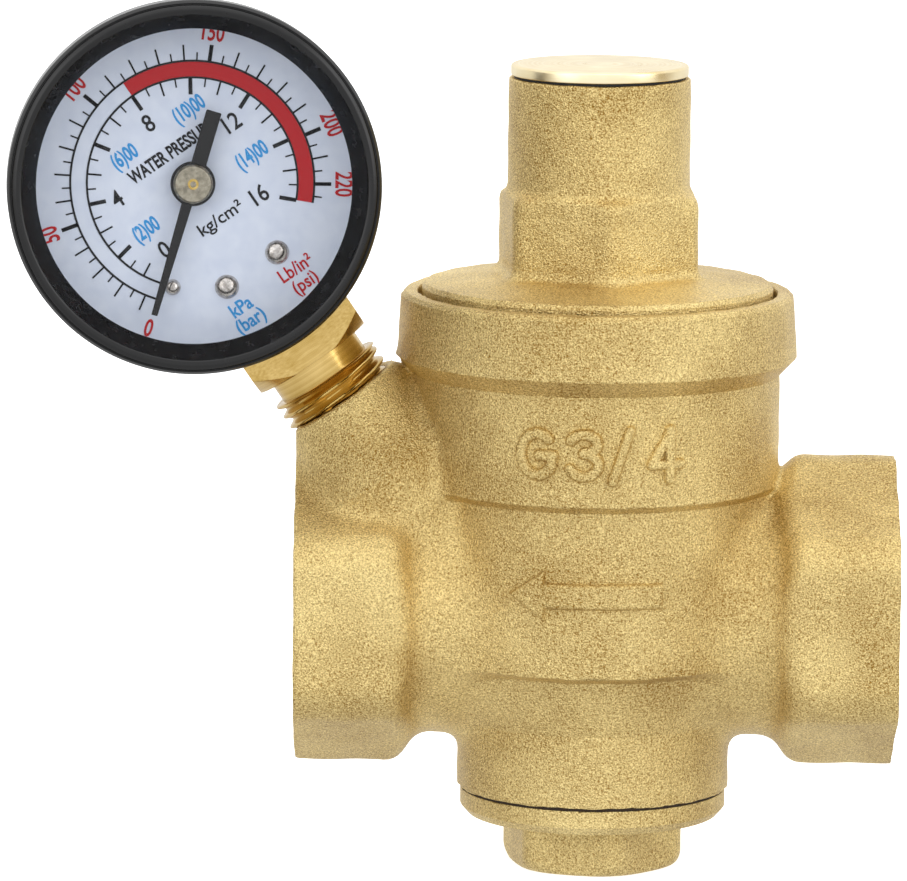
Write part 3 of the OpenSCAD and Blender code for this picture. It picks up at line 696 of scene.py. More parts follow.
def flow_mark(u, v):
    out = np.abs(v - 4.6)
    head = soft_max((out * 1.0 - (u + 9.9) * 0.68) / 1.21, u + 6.0, 0.2)
    shaft = soft_max(np.abs(u - 0.3) - 6.9, out - 1.3, 0.3)
    return np.minimum(head, shaft)


# %% Mark meshes
for name, barrel_r, mark, low, high in (
    ("raised_size_mark", upper_r + 0.1, size_mark, (-10, 17), (10.5, 24.2)),
    ("raised_flow_arrow", lower_r + 0.1, flow_mark, (-11, 1), (8, 8.2)),
):
    nearest = np.array([low[0] + spindle_x, -barrel_r - 0.8, low[1]])
    furthest = np.array([high[0] + spindle_x, -14.5, high[1]])
    points, faces, normals = surface(
        lambda p: proud(p, barrel_r, mark, 0.6), nearest, furthest, 0.18)
    piece(name, points, faces, "valve_body", cast_brass, "cast_brass", normals=normals)
    print(name, len(faces), "faces")

# %% [markdown]
# ## Port threads
# Each port is bored plain in the forging, and its G3/4 thread is cut as one helix. A turned
# outline gives the sleeve, and the thread is a ripple whose phase goes once round for each pitch.

# %% Threaded ports
pipe_pitch, pipe_depth = 1.814, 1.16
sleeve = [(port_r + 0.12, half_length - port_depth), (port_r + 0.12, half_length - 1.3),
          (port_r - 0.1, half_length - 1.15)]
sleeve += [(port_r - 0.02 - depth, z, -depth, pitch) for r, z, depth, pitch in
           threaded(0, half_length - 1.3, half_length - port_depth + 0.4, pipe_pitch, pipe_depth)]
sleeve += [(port_r - 0.05, half_length - port_depth)]
points, faces = revolve(sleeve, 128)
sleeves = []
for side in (90, -90):
    turn = Matrix.Translation((spindle_x, 0, 0)) @ Matrix.Rotation(math.radians(side), 4, "Y")
    sleeves.append((moved(points, turn), faces))
piece("port_threads", *joined(sleeves), "valve_body", thread_brass, "machined_brass", sharp=50)
print("threads", pipe_pitch, "mm apart")

# %% [markdown]
# ## Bonnet and bottom cap
# Both are forgings like the body: a turned flange with a hexagon for the wrench. The same
# distance rule gives them soft wrench corners, while the parts' edges stay sharp where a lathe
# faced them.

# %% Bonnet
neck_r, neck_top, neck_bore = 10.2, 60.2, 9.35
bonnet_low, bonnet_high = span("bonnet")
flange_seat = 34.05
dome_outline = [
    (0, bonnet_low[2]), (18.1, bonnet_low[2]), (18.1, flange_seat), (19.7, flange_seat),
    (19.7, 36.6), (19.3, 37.1), (12, 38.2), (0, 38.2),
]
bonnet_hollow = [
    (0, bonnet_low[2] - 1), (14.5, bonnet_low[2] - 1), (14.5, 32), (9, 37.5), (9, 39.2),
    (neck_bore, 39.8), (neck_bore, neck_top + 1), (0, neck_top + 1),
]


def bonnet_rule(p):
    x, y, z = p[..., 0] - spindle_x, p[..., 1], p[..., 2]
    r = np.hypot(x, y)
    flange = turned_rule(r, z, dome_outline)
    hexes = prism(x, y, 21.0, 6, -52, 1.1)
    shoulder = (r + 1.25 * (z - 47.5) - 11.0) / 1.6
    hexes = soft_max(soft_max(hexes, shoulder, 0.8), np.maximum(z - 47.5, 35 - z), 0.7)
    neck = soft_max(r - neck_r, np.maximum(z - neck_top, 40 - z), 0.3)
    solid = soft_min(soft_min(flange, hexes, 1.3), neck, 0.9)
    solid = solid + 0.04 * np.sin(x * 0.9 + z * 0.8) * np.sin(y * 0.9 - z * 0.5)
    return soft_max(solid, -turned_rule(r, z, bonnet_hollow), 0.2)


points, faces, normals = surface(bonnet_rule, bonnet_low - 0.4, bonnet_high + 0.4,
                                 0.42)
piece("bonnet_casting", points, faces, "valve_body", cast_brass, "cast_brass", ["bonnet"], normals)
print("bonnet:", len(faces), "faces")

# %% Bottom cap
cap_low, cap_high = span("bottom_cap")
flange_top = -20.5
cap_outline = [
    (0, cap_high[2]), (12.55, cap_high[2]), (12.95, cap_high[2] - 0.4), (12.95, flange_top),
    (15, flange_top), (15, -22.4), (14.2, -23.3), (0, -23.3),
]


def bottom_rule(p):
    x, y, z = p[..., 0] - spindle_x, p[..., 1], p[..., 2]
    r = np.hypot(x, y)
    flange = turned_rule(r, z, cap_outline[::-1])
    hexes = prism(x, y, 18.5, 6, -46, 1.2)
    corner = (r - 1.1 * (z - cap_low[2]) - 9.4) / 1.5
    hexes = soft_max(soft_max(hexes, corner, 0.8), np.maximum(cap_low[2] - z, z + 22), 0.5)
    solid = soft_min(flange, hexes, 1.0)
    hollow = np.maximum(r - 10.5, -24 - z)
    return soft_max(solid, -hollow, 0.2)


points, faces, normals = surface(bottom_rule, cap_low - 0.4, cap_high + 0.4, 0.36)
piece("bottom_cap_casting", points, faces, "valve_body", cast_brass, "cast_brass", ["bottom_cap"], normals)
print("bottom cap:", len(faces), "faces")

# %% [markdown]
# ## Turned pieces on the spindle
# The closing cap, its thread and the neck's thread come off the lathe. An outline turned about
# the axis is exact, so the faces stay flat and the edges are small true radii.

# %% Top cap, adjuster and neck thread
def turned(name, outline, body, finish, slot, place, replaces=(), count=96, sharp=40):
    points, faces = revolve(outline, count)
    return piece(name, moved(points, place), faces, body, finish, slot, replaces, sharp=sharp)


disc_top, disc_low = span("top_cap")[1][2], neck_top + 0.3
cap_thread = threaded(8.25, 55.3, disc_low - 0.9, 1.5, 0.85)
cap_rim = rounded([(7.9, disc_low), (9.95, disc_low), (9.95, disc_top), (0, disc_top)],
                  [0, 0.12, 0.3, 0], 4, False)
cap_form = [(0, 56.5), (6.3, 56.5), (6.3, 54.8), (7.6, 54.8), (8.25, 55.25)] + cap_thread + \
    [(7.9, disc_low - 0.6)] + [tuple(p) for p in cap_rim]
turned("closing_cap", cap_form, "top_cap", cap_brass, "machined_brass", on_spindle, ["top_cap"])
neck_sleeve = [(neck_bore + 0.1, 40.2), (neck_bore + 0.1, neck_top - 0.6), (neck_bore - 0.05, neck_top - 0.5)]
neck_sleeve += [(9.2 - depth, z, -depth, pitch) for r, z, depth, pitch in
                threaded(0, neck_top - 0.7, 40.4, 1.5, 0.87)]
turned("neck_thread", neck_sleeve, "valve_body", spindle_brass, "machined_brass", on_spindle, sharp=60)
print("cap thread 1.5 mm pitch")

# %% [markdown]
# ## Gauge socket
# The socket is one bar of brass: a square wrench block turned off at its lower corners, a neck
# up into the case, and a tapered-end stem with a G1/4 thread screwed into the boss. The block
# needs sharp edges between flats and a cone, which the distance rule gives on a fine grid. The
# stem is turned, with its helix in the outline.

# %% Socket block
stem_pitch, stem_depth, stem_r = 1.337, 0.86, 6.58


def block_rule(p):
    x, y, z = p[..., 0], p[..., 1], p[..., 2]
    r, down = np.hypot(x, z), -y
    block = soft_max(np.maximum(np.abs(x), np.abs(z)) - 7, np.abs(down - 22.1) - 2, 0.12)
    block = soft_max(block, (r + (down - 22.2) * 1.16 - 9.6) / 1.53, 0.08)
    neck = np.maximum(r - 5.5, np.maximum(18.9 - down, down - 26.9))
    stub = np.maximum(np.maximum(r - 5.5, z - 3.9), np.maximum(17 - down, down - 19.2))
    clamp = np.maximum(np.abs(x) - 6, np.maximum(np.abs(y + 12) - 3, np.abs(z + 6.775) - 3.375))
    foot = np.maximum(np.abs(x) - 6, np.maximum(np.abs(y + 16.1) - 1.5, np.abs(z + 4.075) - 6.075))
    solid = np.minimum.reduce([block, soft_min(neck, stub, 0.1), clamp, foot])
    for sx, sy in ((3.5, -13), (-3.5, -13)):
        solid = np.maximum(solid, -np.maximum(np.hypot(x - sx, y - sy) - 1.05, z + 7.5))
    return np.maximum(solid, -np.maximum(r - 2, 12 - down))


points, faces, normals = surface(block_rule, (-7.2, -27.2, -10.4), (7.2, -8.8, 7.2),
                                 0.26)
turn = np.array(on_gauge.to_3x3())
piece("socket_block", moved(points, on_gauge), faces, "valve_body", socket_brass, "machined_brass",
      ["gauge_socket"], normals @ turn.T)
print("socket block", len(faces), "faces")

# %% Socket stem
stem = [(2, -38), (5.75, -38), (6.1, -37.4)]
stem += threaded(stem_r, -37.2, -26.75, stem_pitch, stem_depth, 0.3)
stem += [(stem_r - 0.1, -26.6), (5.4, -26.6), (5.4, -26.3), (2, -26.3)]
stem_up = on_gauge @ Matrix.Rotation(math.radians(-90), 4, "X")
turned("socket_stem", stem, "valve_body", socket_brass, "machined_brass", stem_up, sharp=60)
print("stem", stem_pitch, "mm pitch")

# %% [markdown]
# ## Gauge case, bezel and window
# The case is a drawn steel cup with a rolled edge, and the bezel is a moulded ring with a rounded
# outer edge, a fine groove and a face that slopes in to the window. Both are turned outlines with
# real corner radii, because a small radius is what catches the light on glossy black. The hole
# for the socket's neck is then cut through the cup.

# %% Boolean cut helper
def cut(shape, *cutters):
    """Takes closed shapes out of a closed shape; each is (points, faces) in millimetres."""
    made = []
    for one_points, one_faces in (shape, joined(cutters)):
        mesh = bpy.data.meshes.new("cutting")
        mesh.from_pydata(np.asarray(one_points).tolist(), [], [list(f) for f in one_faces])
        body = bpy.data.objects.new("cutting", mesh)
        bpy.context.scene.collection.objects.link(body)
        made.append(body)
    step = made[0].modifiers.new("cut", "BOOLEAN")
    step.operation, step.solver, step.object = "DIFFERENCE", "EXACT", made[1]
    done = bpy.data.meshes.new_from_object(made[0].evaluated_get(bpy.context.evaluated_depsgraph_get()))
    points = np.array([v.co[:] for v in done.vertices])
    faces = [list(f.vertices) for f in done.polygons]
    for body in made:
        bpy.data.objects.remove(body)
    return points, faces


def rod(r, z0, z1, count=48):
    return revolve([(0, z0), (r, z0), (r, z1), (0, z1)], count)


# %% Case, bezel and window
case_r, case_back, case_front, wall = 19.8, -11.0, 8.1, 0.8
case_outer = rounded([(0, case_back), (case_r, case_back), (case_r, case_front)], [0, 2.2, 0], 8, False)
case_inner = rounded([(case_r - wall, case_front), (case_r - wall, case_back + wall), (0, case_back + wall)],
                     [0, 1.4, 0], 8, False)
neck_hole = rod(5.65, 14, 23)
holes = [(moved(neck_hole[0], Matrix.Rotation(math.radians(90), 4, "X")), neck_hole[1])]
for spot in ((3.5, -13), (-3.5, -13)):
    pin = rod(1.1, -13, -9, 24)
    holes.append((moved(pin[0], Matrix.Translation((*spot, 0))), pin[1]))
points, faces = cut(revolve([*map(tuple, case_outer), *map(tuple, case_inner)], 144), *holes)
piece("gauge_cup", moved(points, on_gauge), faces, "valve_body", case_zinc, "case_steel",
      ["gauge_case"], sharp=35)
bezel_form = rounded(
    [(19.9, 7.1), (20.75, 7.1), (20.75, 11.9), (20.42, 12.55), (20.27, 12.4), (20.12, 12.75), (19.7, 13),
     (19.2, 12.85), (17.5, 10.5), (17.5, 10.02), (19.9, 10.02)],
    [0, 0.25, 0.4, 0.1, 0.06, 0.15, 0.3, 0.5, 0.12, 0.1, 0], 5)
turned("gauge_bezel_ring", bezel_form, "valve_body", bezel_paint, "bezel_black", on_gauge,
       ["gauge_bezel"], 192, 30)
window = rounded([(0, 8.15), (19.65, 8.15), (19.65, 9.68), (0, 9.7)], [0, 0.15, 0.2, 0], 3, False)
turned("gauge_window", window, "valve_body", lens_glass, "lens_clear", on_gauge, ["gauge_lens"], 144)
print("case, bezel and window")

# %% [markdown]
# ## Dial print
# The dial is enamelled plate with print on it. Every mark is a thin raised shape of ink, so the
# scale is exact and needs no image. The graduations follow one rule, so one Geometry Nodes tree
# makes them all: points spaced along a circle, each carrying a small bar turned to face the hub.

# %% Geometry Nodes helpers
def tree_with(name, **sockets):
    """A new tree with a geometry in and out and named inputs, its nodes and its input node."""
    tree = bpy.data.node_groups.new(name, "GeometryNodeTree")
    tree.interface.new_socket("Geometry", in_out="OUTPUT", socket_type="NodeSocketGeometry")
    tree.interface.new_socket("Geometry", in_out="INPUT", socket_type="NodeSocketGeometry")
    for label, kind in sockets.items():
        tree.interface.new_socket(label.replace("_", " "), in_out="INPUT", socket_type="NodeSocket" + kind)
    return tree, tree.nodes, tree.nodes.new("NodeGroupInput")


def closed_tree(tree, geometry, source):
    """Ends a tree: real geometry, with the material set."""
    real = add(tree.nodes, "GeometryNodeRealizeInstances", {"Geometry": geometry})
    painted = add(tree.nodes, "GeometryNodeSetMaterial",
                  {"Geometry": real.outputs["Geometry"], "Material": source.outputs["Material"]})
    add(tree.nodes, "NodeGroupOutput", {"Geometry": painted.outputs["Geometry"]})


def grown(tree, spots=((0, 0, 0),), **values):
    """Points (mm) and faces that a tree makes from spots, with its named inputs set."""
    mesh = bpy.data.meshes.new("spots")
    mesh.from_pydata([tuple(s) for s in spots], [], [])
    carrier = bpy.data.objects.new("spots", mesh)
    bpy.context.scene.collection.objects.link(carrier)
    step = carrier.modifiers.new("grow", "NODES")
    step.node_group = tree
    for item in tree.interface.items_tree:
        if item.in_out == "INPUT" and item.name.replace(" ", "_") in values:
            step[item.identifier] = values[item.name.replace(" ", "_")]
    done = bpy.data.meshes.new_from_object(carrier.evaluated_get(bpy.context.evaluated_depsgraph_get()))
    carrier.modifiers.clear()
    points = np.array([v.co[:] for v in done.vertices])
    faces = [list(f.vertices) for f in done.polygons]
    bpy.data.objects.remove(carrier)
    return points, faces


def maths(nodes, operation, first, second=None):
    """One arithmetic step between outputs or numbers."""
    node = nodes.new("ShaderNodeMath")
    node.operation = operation
    for i, value in enumerate((first, second)):
        if value is None:
            continue
        if isinstance(value, (int, float)):
            node.inputs[i].default_value = value
        else:
            nodes.id_data.links.new(value, node.inputs[i])
    return node.outputs[0]


# %% Graduation tree
graduations, nodes, source = tree_with(
    "graduations", Count="Int", Start="Float", Step="Float", Inner_Radius="Float",
    Length="Float", Width="Float", Height="Float", Material="Material")
angle = maths(nodes, "ADD", source.outputs["Start"], maths(
    nodes, "MULTIPLY", add(nodes, "GeometryNodeInputIndex").outputs[0], source.outputs["Step"]))
radius = maths(nodes, "ADD", source.outputs["Inner Radius"], maths(
    nodes, "MULTIPLY", source.outputs["Length"], 0.5))
across = maths(nodes, "MULTIPLY", maths(nodes, "SINE", angle), maths(nodes, "MULTIPLY", radius, -1.0))
upwards = maths(nodes, "MULTIPLY", maths(nodes, "COSINE", angle), maths(nodes, "MULTIPLY", radius, -1.0))
spot = add(nodes, "ShaderNodeCombineXYZ", {"X": across, "Y": upwards})
marks = add(nodes, "GeometryNodePoints", {"Count": source.outputs["Count"], "Position": spot.outputs[0]})
bar_size = add(nodes, "ShaderNodeCombineXYZ", {
    "X": source.outputs["Width"], "Y": source.outputs["Length"], "Z": source.outputs["Height"]})
bar = add(nodes, "GeometryNodeMeshCube", {"Size": bar_size.outputs[0]})
facing = add(nodes, "ShaderNodeCombineXYZ", {"Z": maths(nodes, "MULTIPLY", angle, -1.0)})
bars = add(nodes, "GeometryNodeInstanceOnPoints", {
    "Points": marks.outputs[0], "Instance": bar.outputs["Mesh"], "Rotation": facing.outputs[0]})
closed_tree(graduations, bars.outputs["Instances"], source)

ink, dial_z = 0.06, 4.5
pounds_per_unit = 14.2233
zero, per_unit = math.radians(45.2), math.radians(16.8)
per_pound = per_unit / pounds_per_unit
# The lines begin beside the resting pointer, past the stop pin
rest_angle = 50.7
start = math.radians(rest_angle)


def ticks(count, first, step, inner, length, width):
    points, faces = grown(graduations, Count=count, Start=zero + first, Step=step, Inner_Radius=inner,
                          Length=length, Width=width, Height=ink, Material=ink_black)
    return points + [0, 0, dial_z + ink / 2 - 0.01], faces


print("graduation tree has", len(nodes), "nodes")

# %% Arcs and lettering
def arc_band(inner, outer, first, last):
    """A thin band of ink between two radii, from one scale angle to another."""
    count = max(int(math.degrees(last - first) / 2), 2)
    low, top = dial_z - 0.01, dial_z + ink - 0.01
    points, faces = [], []
    for i in range(count + 1):
        a = first + (last - first) * i / count
        s, c = -math.sin(a), -math.cos(a)
        points += [(inner * s, inner * c, low), (outer * s, outer * c, low),
                   (outer * s, outer * c, top), (inner * s, inner * c, top)]
    for i in range(count):
        a, b = 4 * i, 4 * (i + 1)
        faces += [[a + k, a + (k + 1) % 4, b + (k + 1) % 4, b + k] for k in range(4)]
    faces += [[3, 2, 1, 0], [4 * count, 4 * count + 1, 4 * count + 2, 4 * count + 3]]
    return np.array(points), faces


def printed(words, spot, height, turn=0.0, wide=1.0, weight=0.0):
    """Lettering as thin ink: spot is its middle, height that of its capitals, turn in degrees."""
    curve = bpy.data.curves.new("lettering", "FONT")
    curve.body, curve.align_x, curve.align_y = words, "CENTER", "CENTER"
    curve.resolution_u, curve.offset, curve.extrude = 3, weight, 0.5
    body = bpy.data.objects.new("lettering", curve)
    bpy.context.scene.collection.objects.link(body)
    made = bpy.data.meshes.new_from_object(body.evaluated_get(bpy.context.evaluated_depsgraph_get()))
    welded = bmesh.new()
    welded.from_mesh(made)
    bmesh.ops.remove_doubles(welded, verts=welded.verts, dist=1e-5)
    bmesh.ops.recalc_face_normals(welded, faces=welded.faces)
    points = np.array([v.co[:] for v in welded.verts])
    faces = [[v.index for v in f.verts] for f in welded.faces]
    welded.free()
    bpy.data.objects.remove(body)
    capital = 0.72
    points[:, :2] -= (points[:, :2].min(0) + points[:, :2].max(0)) / 2
    points = points * [height / capital * wide, height / capital, ink] + [0, 0, dial_z + ink / 2 - 0.01]
    c, s = math.cos(math.radians(turn)), math.sin(math.radians(turn))
    flat = points[:, :2] @ np.array([[c, s], [-s, c]]) + spot
    return np.column_stack([flat, points[:, 2]]), faces


# %% Black, red and blue ink
full_scale = zero + 16 * per_unit
black = [
    arc_band(13.48, 13.72, start, full_scale),
    arc_band(11.63, 11.87, start, full_scale),
    # Inner scale: every second unit, the units between them, and the halves
    ticks(8, 2 * per_unit, 2 * per_unit, 9.85, 1.9, 0.44),
    ticks(8, per_unit, 2 * per_unit, 10.15, 1.6, 0.2),
    ticks(31, per_unit, per_unit / 2, 10.75, 1.0, 0.17),
    # Outer scale: fives, tens, fifties and the last one
    ticks(44, 10 * per_pound, 5 * per_pound, 13.6, 0.95, 0.17),
    ticks(22, 10 * per_pound, 10 * per_pound, 13.6, 1.8, 0.2),
    ticks(4, 50 * per_pound, 50 * per_pound, 13.6, 1.9, 0.44),
    ticks(1, 220 * per_pound, 1.0, 13.6, 1.9, 0.4),
]
for words, spot in (("0", (-6.8, -4.4)), ("4", (-7.95, 3.25)), ("8", (-0.3, 8.25)), ("12", (7.4, 3.1)),
                    ("16", (5.4, -5.3))):
    black.append(printed(words, spot, 2.0, wide=0.86, weight=0.012))
black += [printed("WATER PRESSURE", (0, 4.2), 1.5, wide=0.66, weight=0.03),
          printed("kg/cm²", (0.35, -5.2), 1.45, wide=1.05, weight=0.01)]
red = [arc_band(11.87, 13.48, zero + 8 * per_unit, full_scale)]
for pounds in (5, 50, 100, 150, 200, 220):
    around = zero + pounds * per_pound
    spot = (-16.95 * math.sin(around), -16.95 * math.cos(around))
    words = "0" if pounds == 5 else str(pounds)
    red.append(printed(words, spot, 2.0, 180 - math.degrees(around), 0.68, 0.02))
red += [printed("Lb/in²", (4.1, -14.35), 1.55, wide=0.85, weight=0.015),
        printed("(psi)", (4.1, -16.5), 1.55, wide=0.85, weight=0.015)]
blue = [printed("kPa", (-3.35, -14.5), 1.6, wide=0.85, weight=0.02),
        printed("(bar)", (-3.35, -16.6), 1.6, wide=0.85, weight=0.02)]
for words, spot in (("(2)00", (-7.2, -1.6)), ("(6)00", (-4.6, 6.5)), ("(10)00", (4.3, 6.8)),
                    ("(14)00", (7.2, -1.4))):
    blue.append(printed(words, spot, 1.75, wide=0.6, weight=0.03))
for name, parts, finish in (("black_print", black, ink_black), ("red_print", red, ink_red),
                            ("blue_print", blue, ink_blue)):
    points, faces = joined(parts)
    piece(name, moved(points, on_gauge), faces, "valve_body", finish, "dial_print", sharp=30)
    print(name, len(faces), "faces")

# %% [markdown]
# ## Pointer, hub and dial screws
# The pointer is thin black plate with filed edges, riding on a turned hub. The small domed heads
# are all one turned shape set on a few spots, so a second Geometry Nodes tree places them.

# %% Pointer and hub
def plate(outline, low, top, edge):
    """A flat plate with chamfered edges from a counter-clockwise outline."""
    outline = np.asarray(outline, float)
    ahead, back = np.roll(outline, -1, 0) - outline, outline - np.roll(outline, 1, 0)
    sides = [np.stack([-v[:, 1], v[:, 0]], -1) / np.linalg.norm(v, axis=1)[:, None] for v in (back, ahead)]
    inward = (sides[0] + sides[1]) / (1 + (sides[0] * sides[1]).sum(1))[:, None]
    layers = [(edge, low), (0, low + edge), (0, top - edge), (edge, top)]
    points = [np.column_stack([outline + inward * inset, np.full(len(outline), z)]) for inset, z in layers]
    count, faces = len(outline), []
    for k in range(len(layers) - 1):
        for i in range(count):
            j = (i + 1) % count
            faces.append([k * count + i, k * count + j, (k + 1) * count + j, (k + 1) * count + i])
    faces.append(list(range(count))[::-1])
    faces.append([(len(layers) - 1) * count + i for i in range(count)])
    return np.concatenate(points), faces


disc = [(2.5 * math.cos(math.radians(a)), 2.5 * math.sin(math.radians(a)))
        for a in range(-159, -13, 6)]
pointer_outline = [(15.3, -0.34), (15.3, 0.34), (2.43, 0.6)] + [(x, -y) for x, y in disc[::-1]]
pointer_outline += [(-2.35, 0.85), (-8.3, 0.87), (-8.4, 0.77), (-8.4, -0.77), (-8.3, -0.87), (-2.35, -0.85)]
pointer_outline += disc + [(2.43, -0.6)]
pointer_rest = Matrix.Rotation(math.radians(-90 - rest_angle), 4, "Z")
points, faces = plate(pointer_outline, 6.05, 6.3, 0.05)
piece("pointer_plate", moved(moved(points, pointer_rest), on_gauge), faces, "pointer", pointer_paint,
      "pointer_black", ["gauge_pointer"], sharp=25)
hub_form = rounded(
    [(0.36, 5), (1.2, 5), (1.2, 6.32), (2.2, 6.32), (2.2, 6.8), (1.95, 7.1), (0.62, 7.12), (0.36, 7.0)],
    [0, 0, 0, 0.08, 0.15, 0.15, 0.06, 0], 4)
pin_form = rounded([(0, 6.2), (0.35, 6.2), (0.35, 7.25), (0, 7.3)], [0, 0, 0.1, 0], 4, False)
points, faces = joined([revolve(hub_form, 64), revolve(pin_form, 32)])
piece("pointer_cap", moved(points, on_gauge), faces, "pointer", hub_metal, "machined_brass",
      ["pointer_hub"], sharp=40)
print("pointer", len(pointer_outline), "corners")

# %% Tree that sets a turned head on each spot
set_heads, nodes, source = tree_with("set_heads", Head="Object", Material="Material")
head = add(nodes, "GeometryNodeObjectInfo", {"Object": source.outputs["Head"]})
placed = add(nodes, "GeometryNodeInstanceOnPoints", {
    "Points": source.outputs["Geometry"], "Instance": head.outputs["Geometry"]})
closed_tree(set_heads, placed.outputs["Instances"], source)


def heads(name, form, spots, finish, slot, replaces, count=40):
    """The same turned head on each spot of the dial frame, as one piece."""
    points, faces = revolve(form, count)
    mesh = bpy.data.meshes.new("head")
    mesh.from_pydata(points.tolist(), [], faces)
    master = bpy.data.objects.new("head", mesh)
    bpy.context.scene.collection.objects.link(master)
    points, faces = grown(set_heads, spots, Head=master, Material=finish)
    bpy.data.objects.remove(master)
    return piece(name, moved(points, on_gauge), faces, "valve_body", finish, slot, replaces, sharp=35)


def dome(head_r, head_h, shank_r, shank):
    """Outline of a domed head on a plain shank, with the dome's foot at z = 0."""
    ball = (head_r ** 2 + head_h ** 2) / (2 * head_h)
    start = math.asin(head_r / ball)
    crown = [(ball * math.sin(start * (1 - i / 8)), head_h - ball * (1 - math.cos(start * (1 - i / 8))))
             for i in range(9)]
    return [(0, -shank), (shank_r, -shank), (shank_r, 0), (head_r - 0.05, 0)] + crown


heads("dial_screw_heads", dome(1.35, 0.8, 0.6, 1.4), [(3.4, -11.8, 4.52), (-3.4, -11.8, 4.52)],
      screw_steel, "steel_zinc", ["dial_screws"])
stop = 11.9 * math.sin(math.radians(45))
heads("stop_pin_head", dome(0.9, 0.7, 0.5, 1.0), [(-stop, -stop, 4.52)], screw_steel, "steel_zinc",
      ["stop_pin"])
print("heads set")

# %% [markdown]
# ## Springs
# The main spring is wire wound on one rule: the first and last turns lie closed on their
# neighbours, and the rest climb evenly. A Geometry Nodes tree lays points along that rule and
# sweeps the round wire through them. It is made in two halves, because its foot follows the
# piston and its top follows the spring seat; neither half rides on a body.

# %% Spring tree
winding, nodes, source = tree_with(
    "winding", From_Turn="Float", To_Turn="Float", Turns="Float", Closed_Lead="Float",
    Open_Lead="Float", Coil_Radius="Float", Wire_Radius="Float", Points="Int", Material="Material")
line = add(nodes, "GeometryNodeMeshLine", {"Count": source.outputs["Points"]})
share = maths(nodes, "DIVIDE", add(nodes, "GeometryNodeInputIndex").outputs[0],
              maths(nodes, "SUBTRACT", source.outputs["Points"], 1.0))
run = maths(nodes, "SUBTRACT", source.outputs["To Turn"], source.outputs["From Turn"])
turns_here = maths(nodes, "ADD", source.outputs["From Turn"], maths(nodes, "MULTIPLY", share, run))
first_turn = maths(nodes, "MINIMUM", turns_here, 1.0)
last_turn = maths(nodes, "MAXIMUM", maths(
    nodes, "SUBTRACT", turns_here, maths(nodes, "SUBTRACT", source.outputs["Turns"], 1.0)), 0.0)
closed_turns = maths(nodes, "ADD", first_turn, last_turn)
open_turns = maths(nodes, "SUBTRACT", turns_here, closed_turns)
height = maths(nodes, "ADD", maths(nodes, "MULTIPLY", closed_turns, source.outputs["Closed Lead"]),
               maths(nodes, "MULTIPLY", open_turns, source.outputs["Open Lead"]))
turned_by = maths(nodes, "MULTIPLY", turns_here, 2 * math.pi)
wire_at = add(nodes, "ShaderNodeCombineXYZ", {
    "X": maths(nodes, "MULTIPLY", maths(nodes, "COSINE", turned_by), source.outputs["Coil Radius"]),
    "Y": maths(nodes, "MULTIPLY", maths(nodes, "SINE", turned_by), source.outputs["Coil Radius"]),
    "Z": height})
laid = add(nodes, "GeometryNodeSetPosition",
           {"Geometry": line.outputs["Mesh"], "Position": wire_at.outputs[0]})
path = add(nodes, "GeometryNodeMeshToCurve", {"Mesh": laid.outputs["Geometry"]})
wire = add(nodes, "GeometryNodeCurvePrimitiveCircle", {"Radius": source.outputs["Wire Radius"]},
           {"Resolution": 16})
swept = add(nodes, "GeometryNodeCurveToMesh", {"Curve": path.outputs["Curve"],
                                               "Profile Curve": wire.outputs["Curve"]}, {"Fill Caps": True})
closed_tree(winding, swept.outputs["Mesh"], source)

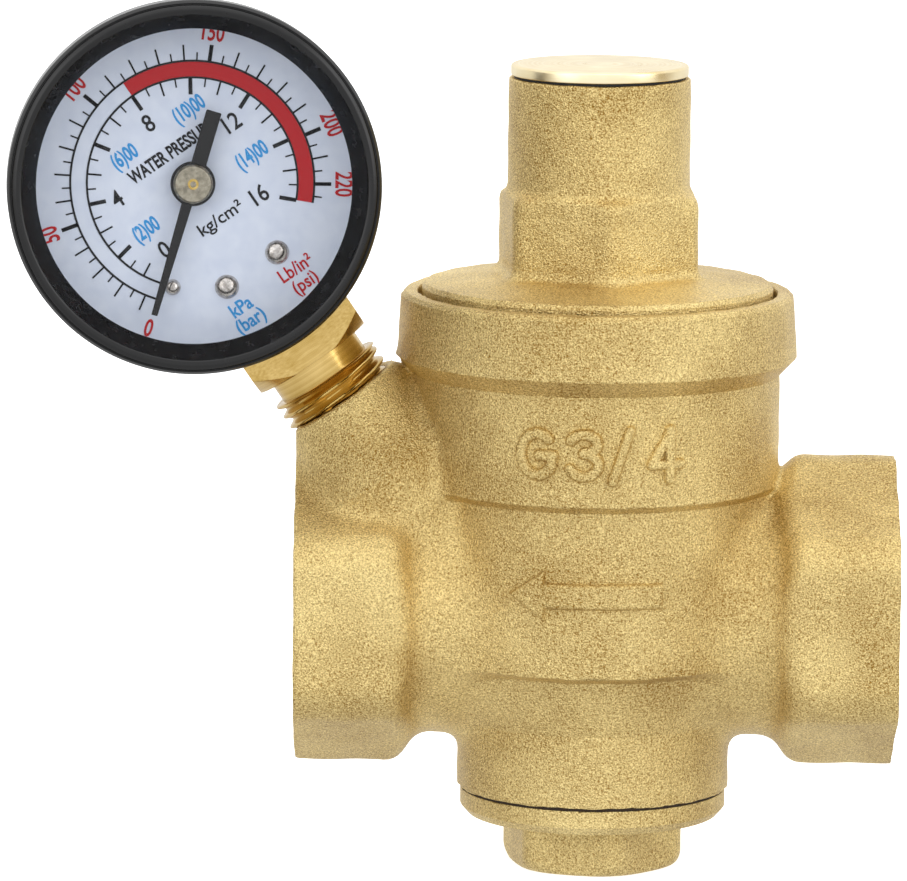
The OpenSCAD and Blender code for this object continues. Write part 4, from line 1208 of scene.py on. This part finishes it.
# %% Main spring in two halves
wire_r, coil_r, turns = 1.15, 6.5, 8.0
spring_low, spring_high = span("main_spring")
foot, top = spring_low[2] + wire_r, spring_high[2] - wire_r
closed_lead = wire_r * 2.04
open_lead = (top - foot - 2 * closed_lead) / (turns - 2)
half_height = (foot + top) / 2
for name, first, last, bodies, ends in (
    ("spring_lower_half", 0.0, turns / 2, ("piston", "valve_body"), (foot + closed_lead, half_height)),
    ("spring_upper_half", turns / 2, turns, ("valve_body", "spring_seat"), (half_height, top - closed_lead)),
):
    points, faces = grown(winding, From_Turn=first, To_Turn=last, Turns=turns, Closed_Lead=closed_lead,
                          Open_Lead=open_lead, Coil_Radius=coil_r, Wire_Radius=wire_r, Points=129,
                          Material=spring_steel)
    made = piece(name, points + [spindle_x, 0, foot], faces, None, spring_steel, "spring_steel",
                 ["main_spring"], sharp=50)
    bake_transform(made)
    print(name, len(faces), "faces")

# %% [markdown]
# ## Pressure tube
# The gauge's bronze tube is a flattened tube bent round the dial. When pressure rises it opens a
# little and carries its tip along; its mesh rides on no body.

# %% Flattened tube
tube_mean, tube_first, tube_last = 12.5, -20.0, 180 + math.degrees(math.acos(6.05 / 11.5))
section = rounded([(-1, -6.5), (1, -6.5), (1, -1.5), (-1, -1.5)], 0.95, 5)
points, faces = [], []
bends = 90
for i in range(bends + 1):
    a = math.radians(tube_first + (tube_last - tube_first) * i / bends)
    points += [((tube_mean + r) * math.cos(a), (tube_mean + r) * math.sin(a), z) for r, z in section]
sides = len(section)
for i in range(bends):
    for k in range(sides):
        n = (k + 1) % sides
        faces.append([i * sides + k, i * sides + n, (i + 1) * sides + n, (i + 1) * sides + k][::-1])
faces += [list(range(sides)), [bends * sides + k for k in range(sides)][::-1]]
tube_points = moved(np.array(points), on_gauge)
tube = piece("pressure_tube", tube_points, faces, None, tube_bronze, "tube_bronze",
             ["bourdon_tube"], sharp=60)
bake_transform(tube)
print("tube", len(faces), "faces")

# %% [markdown]
# ## Finishes on the working parts
# The rest of the working model already has its true shape, so it keeps its own meshes and only
# gets its finish: turned brass, stamped plate, plated steel, rubber or fibre.

# %% Finishes by part
finishes = {
    spindle_brass: ["piston", "disc_holder", "adjusting_screw"],
    plate_brass: ["pinion_arbor", "sector_gear", "link", "tube_tip", "front_plate", "rear_plate",
                  "plate_pillars", "dial_posts"],
    screw_steel: ["upper_spring_seat", "stem_washer", "disc_nut", "movement_screws", "case_screws"],
    seal_rubber: ["piston_ring", "valve_disc", "cap_seal", "lens_ring"],
    seal_fibre: ["bonnet_gasket", "bottom_gasket"],
    dial_paint: ["gauge_dial"],
    tube_bronze: ["hairspring"],
}
for finish, names in finishes.items():
    for name in names:
        mesh = frame["nodes"][name].data
        mesh.materials.clear()
        mesh.materials.append(finish)
print(sum(len(names) for names in finishes.values()), "working parts finished")
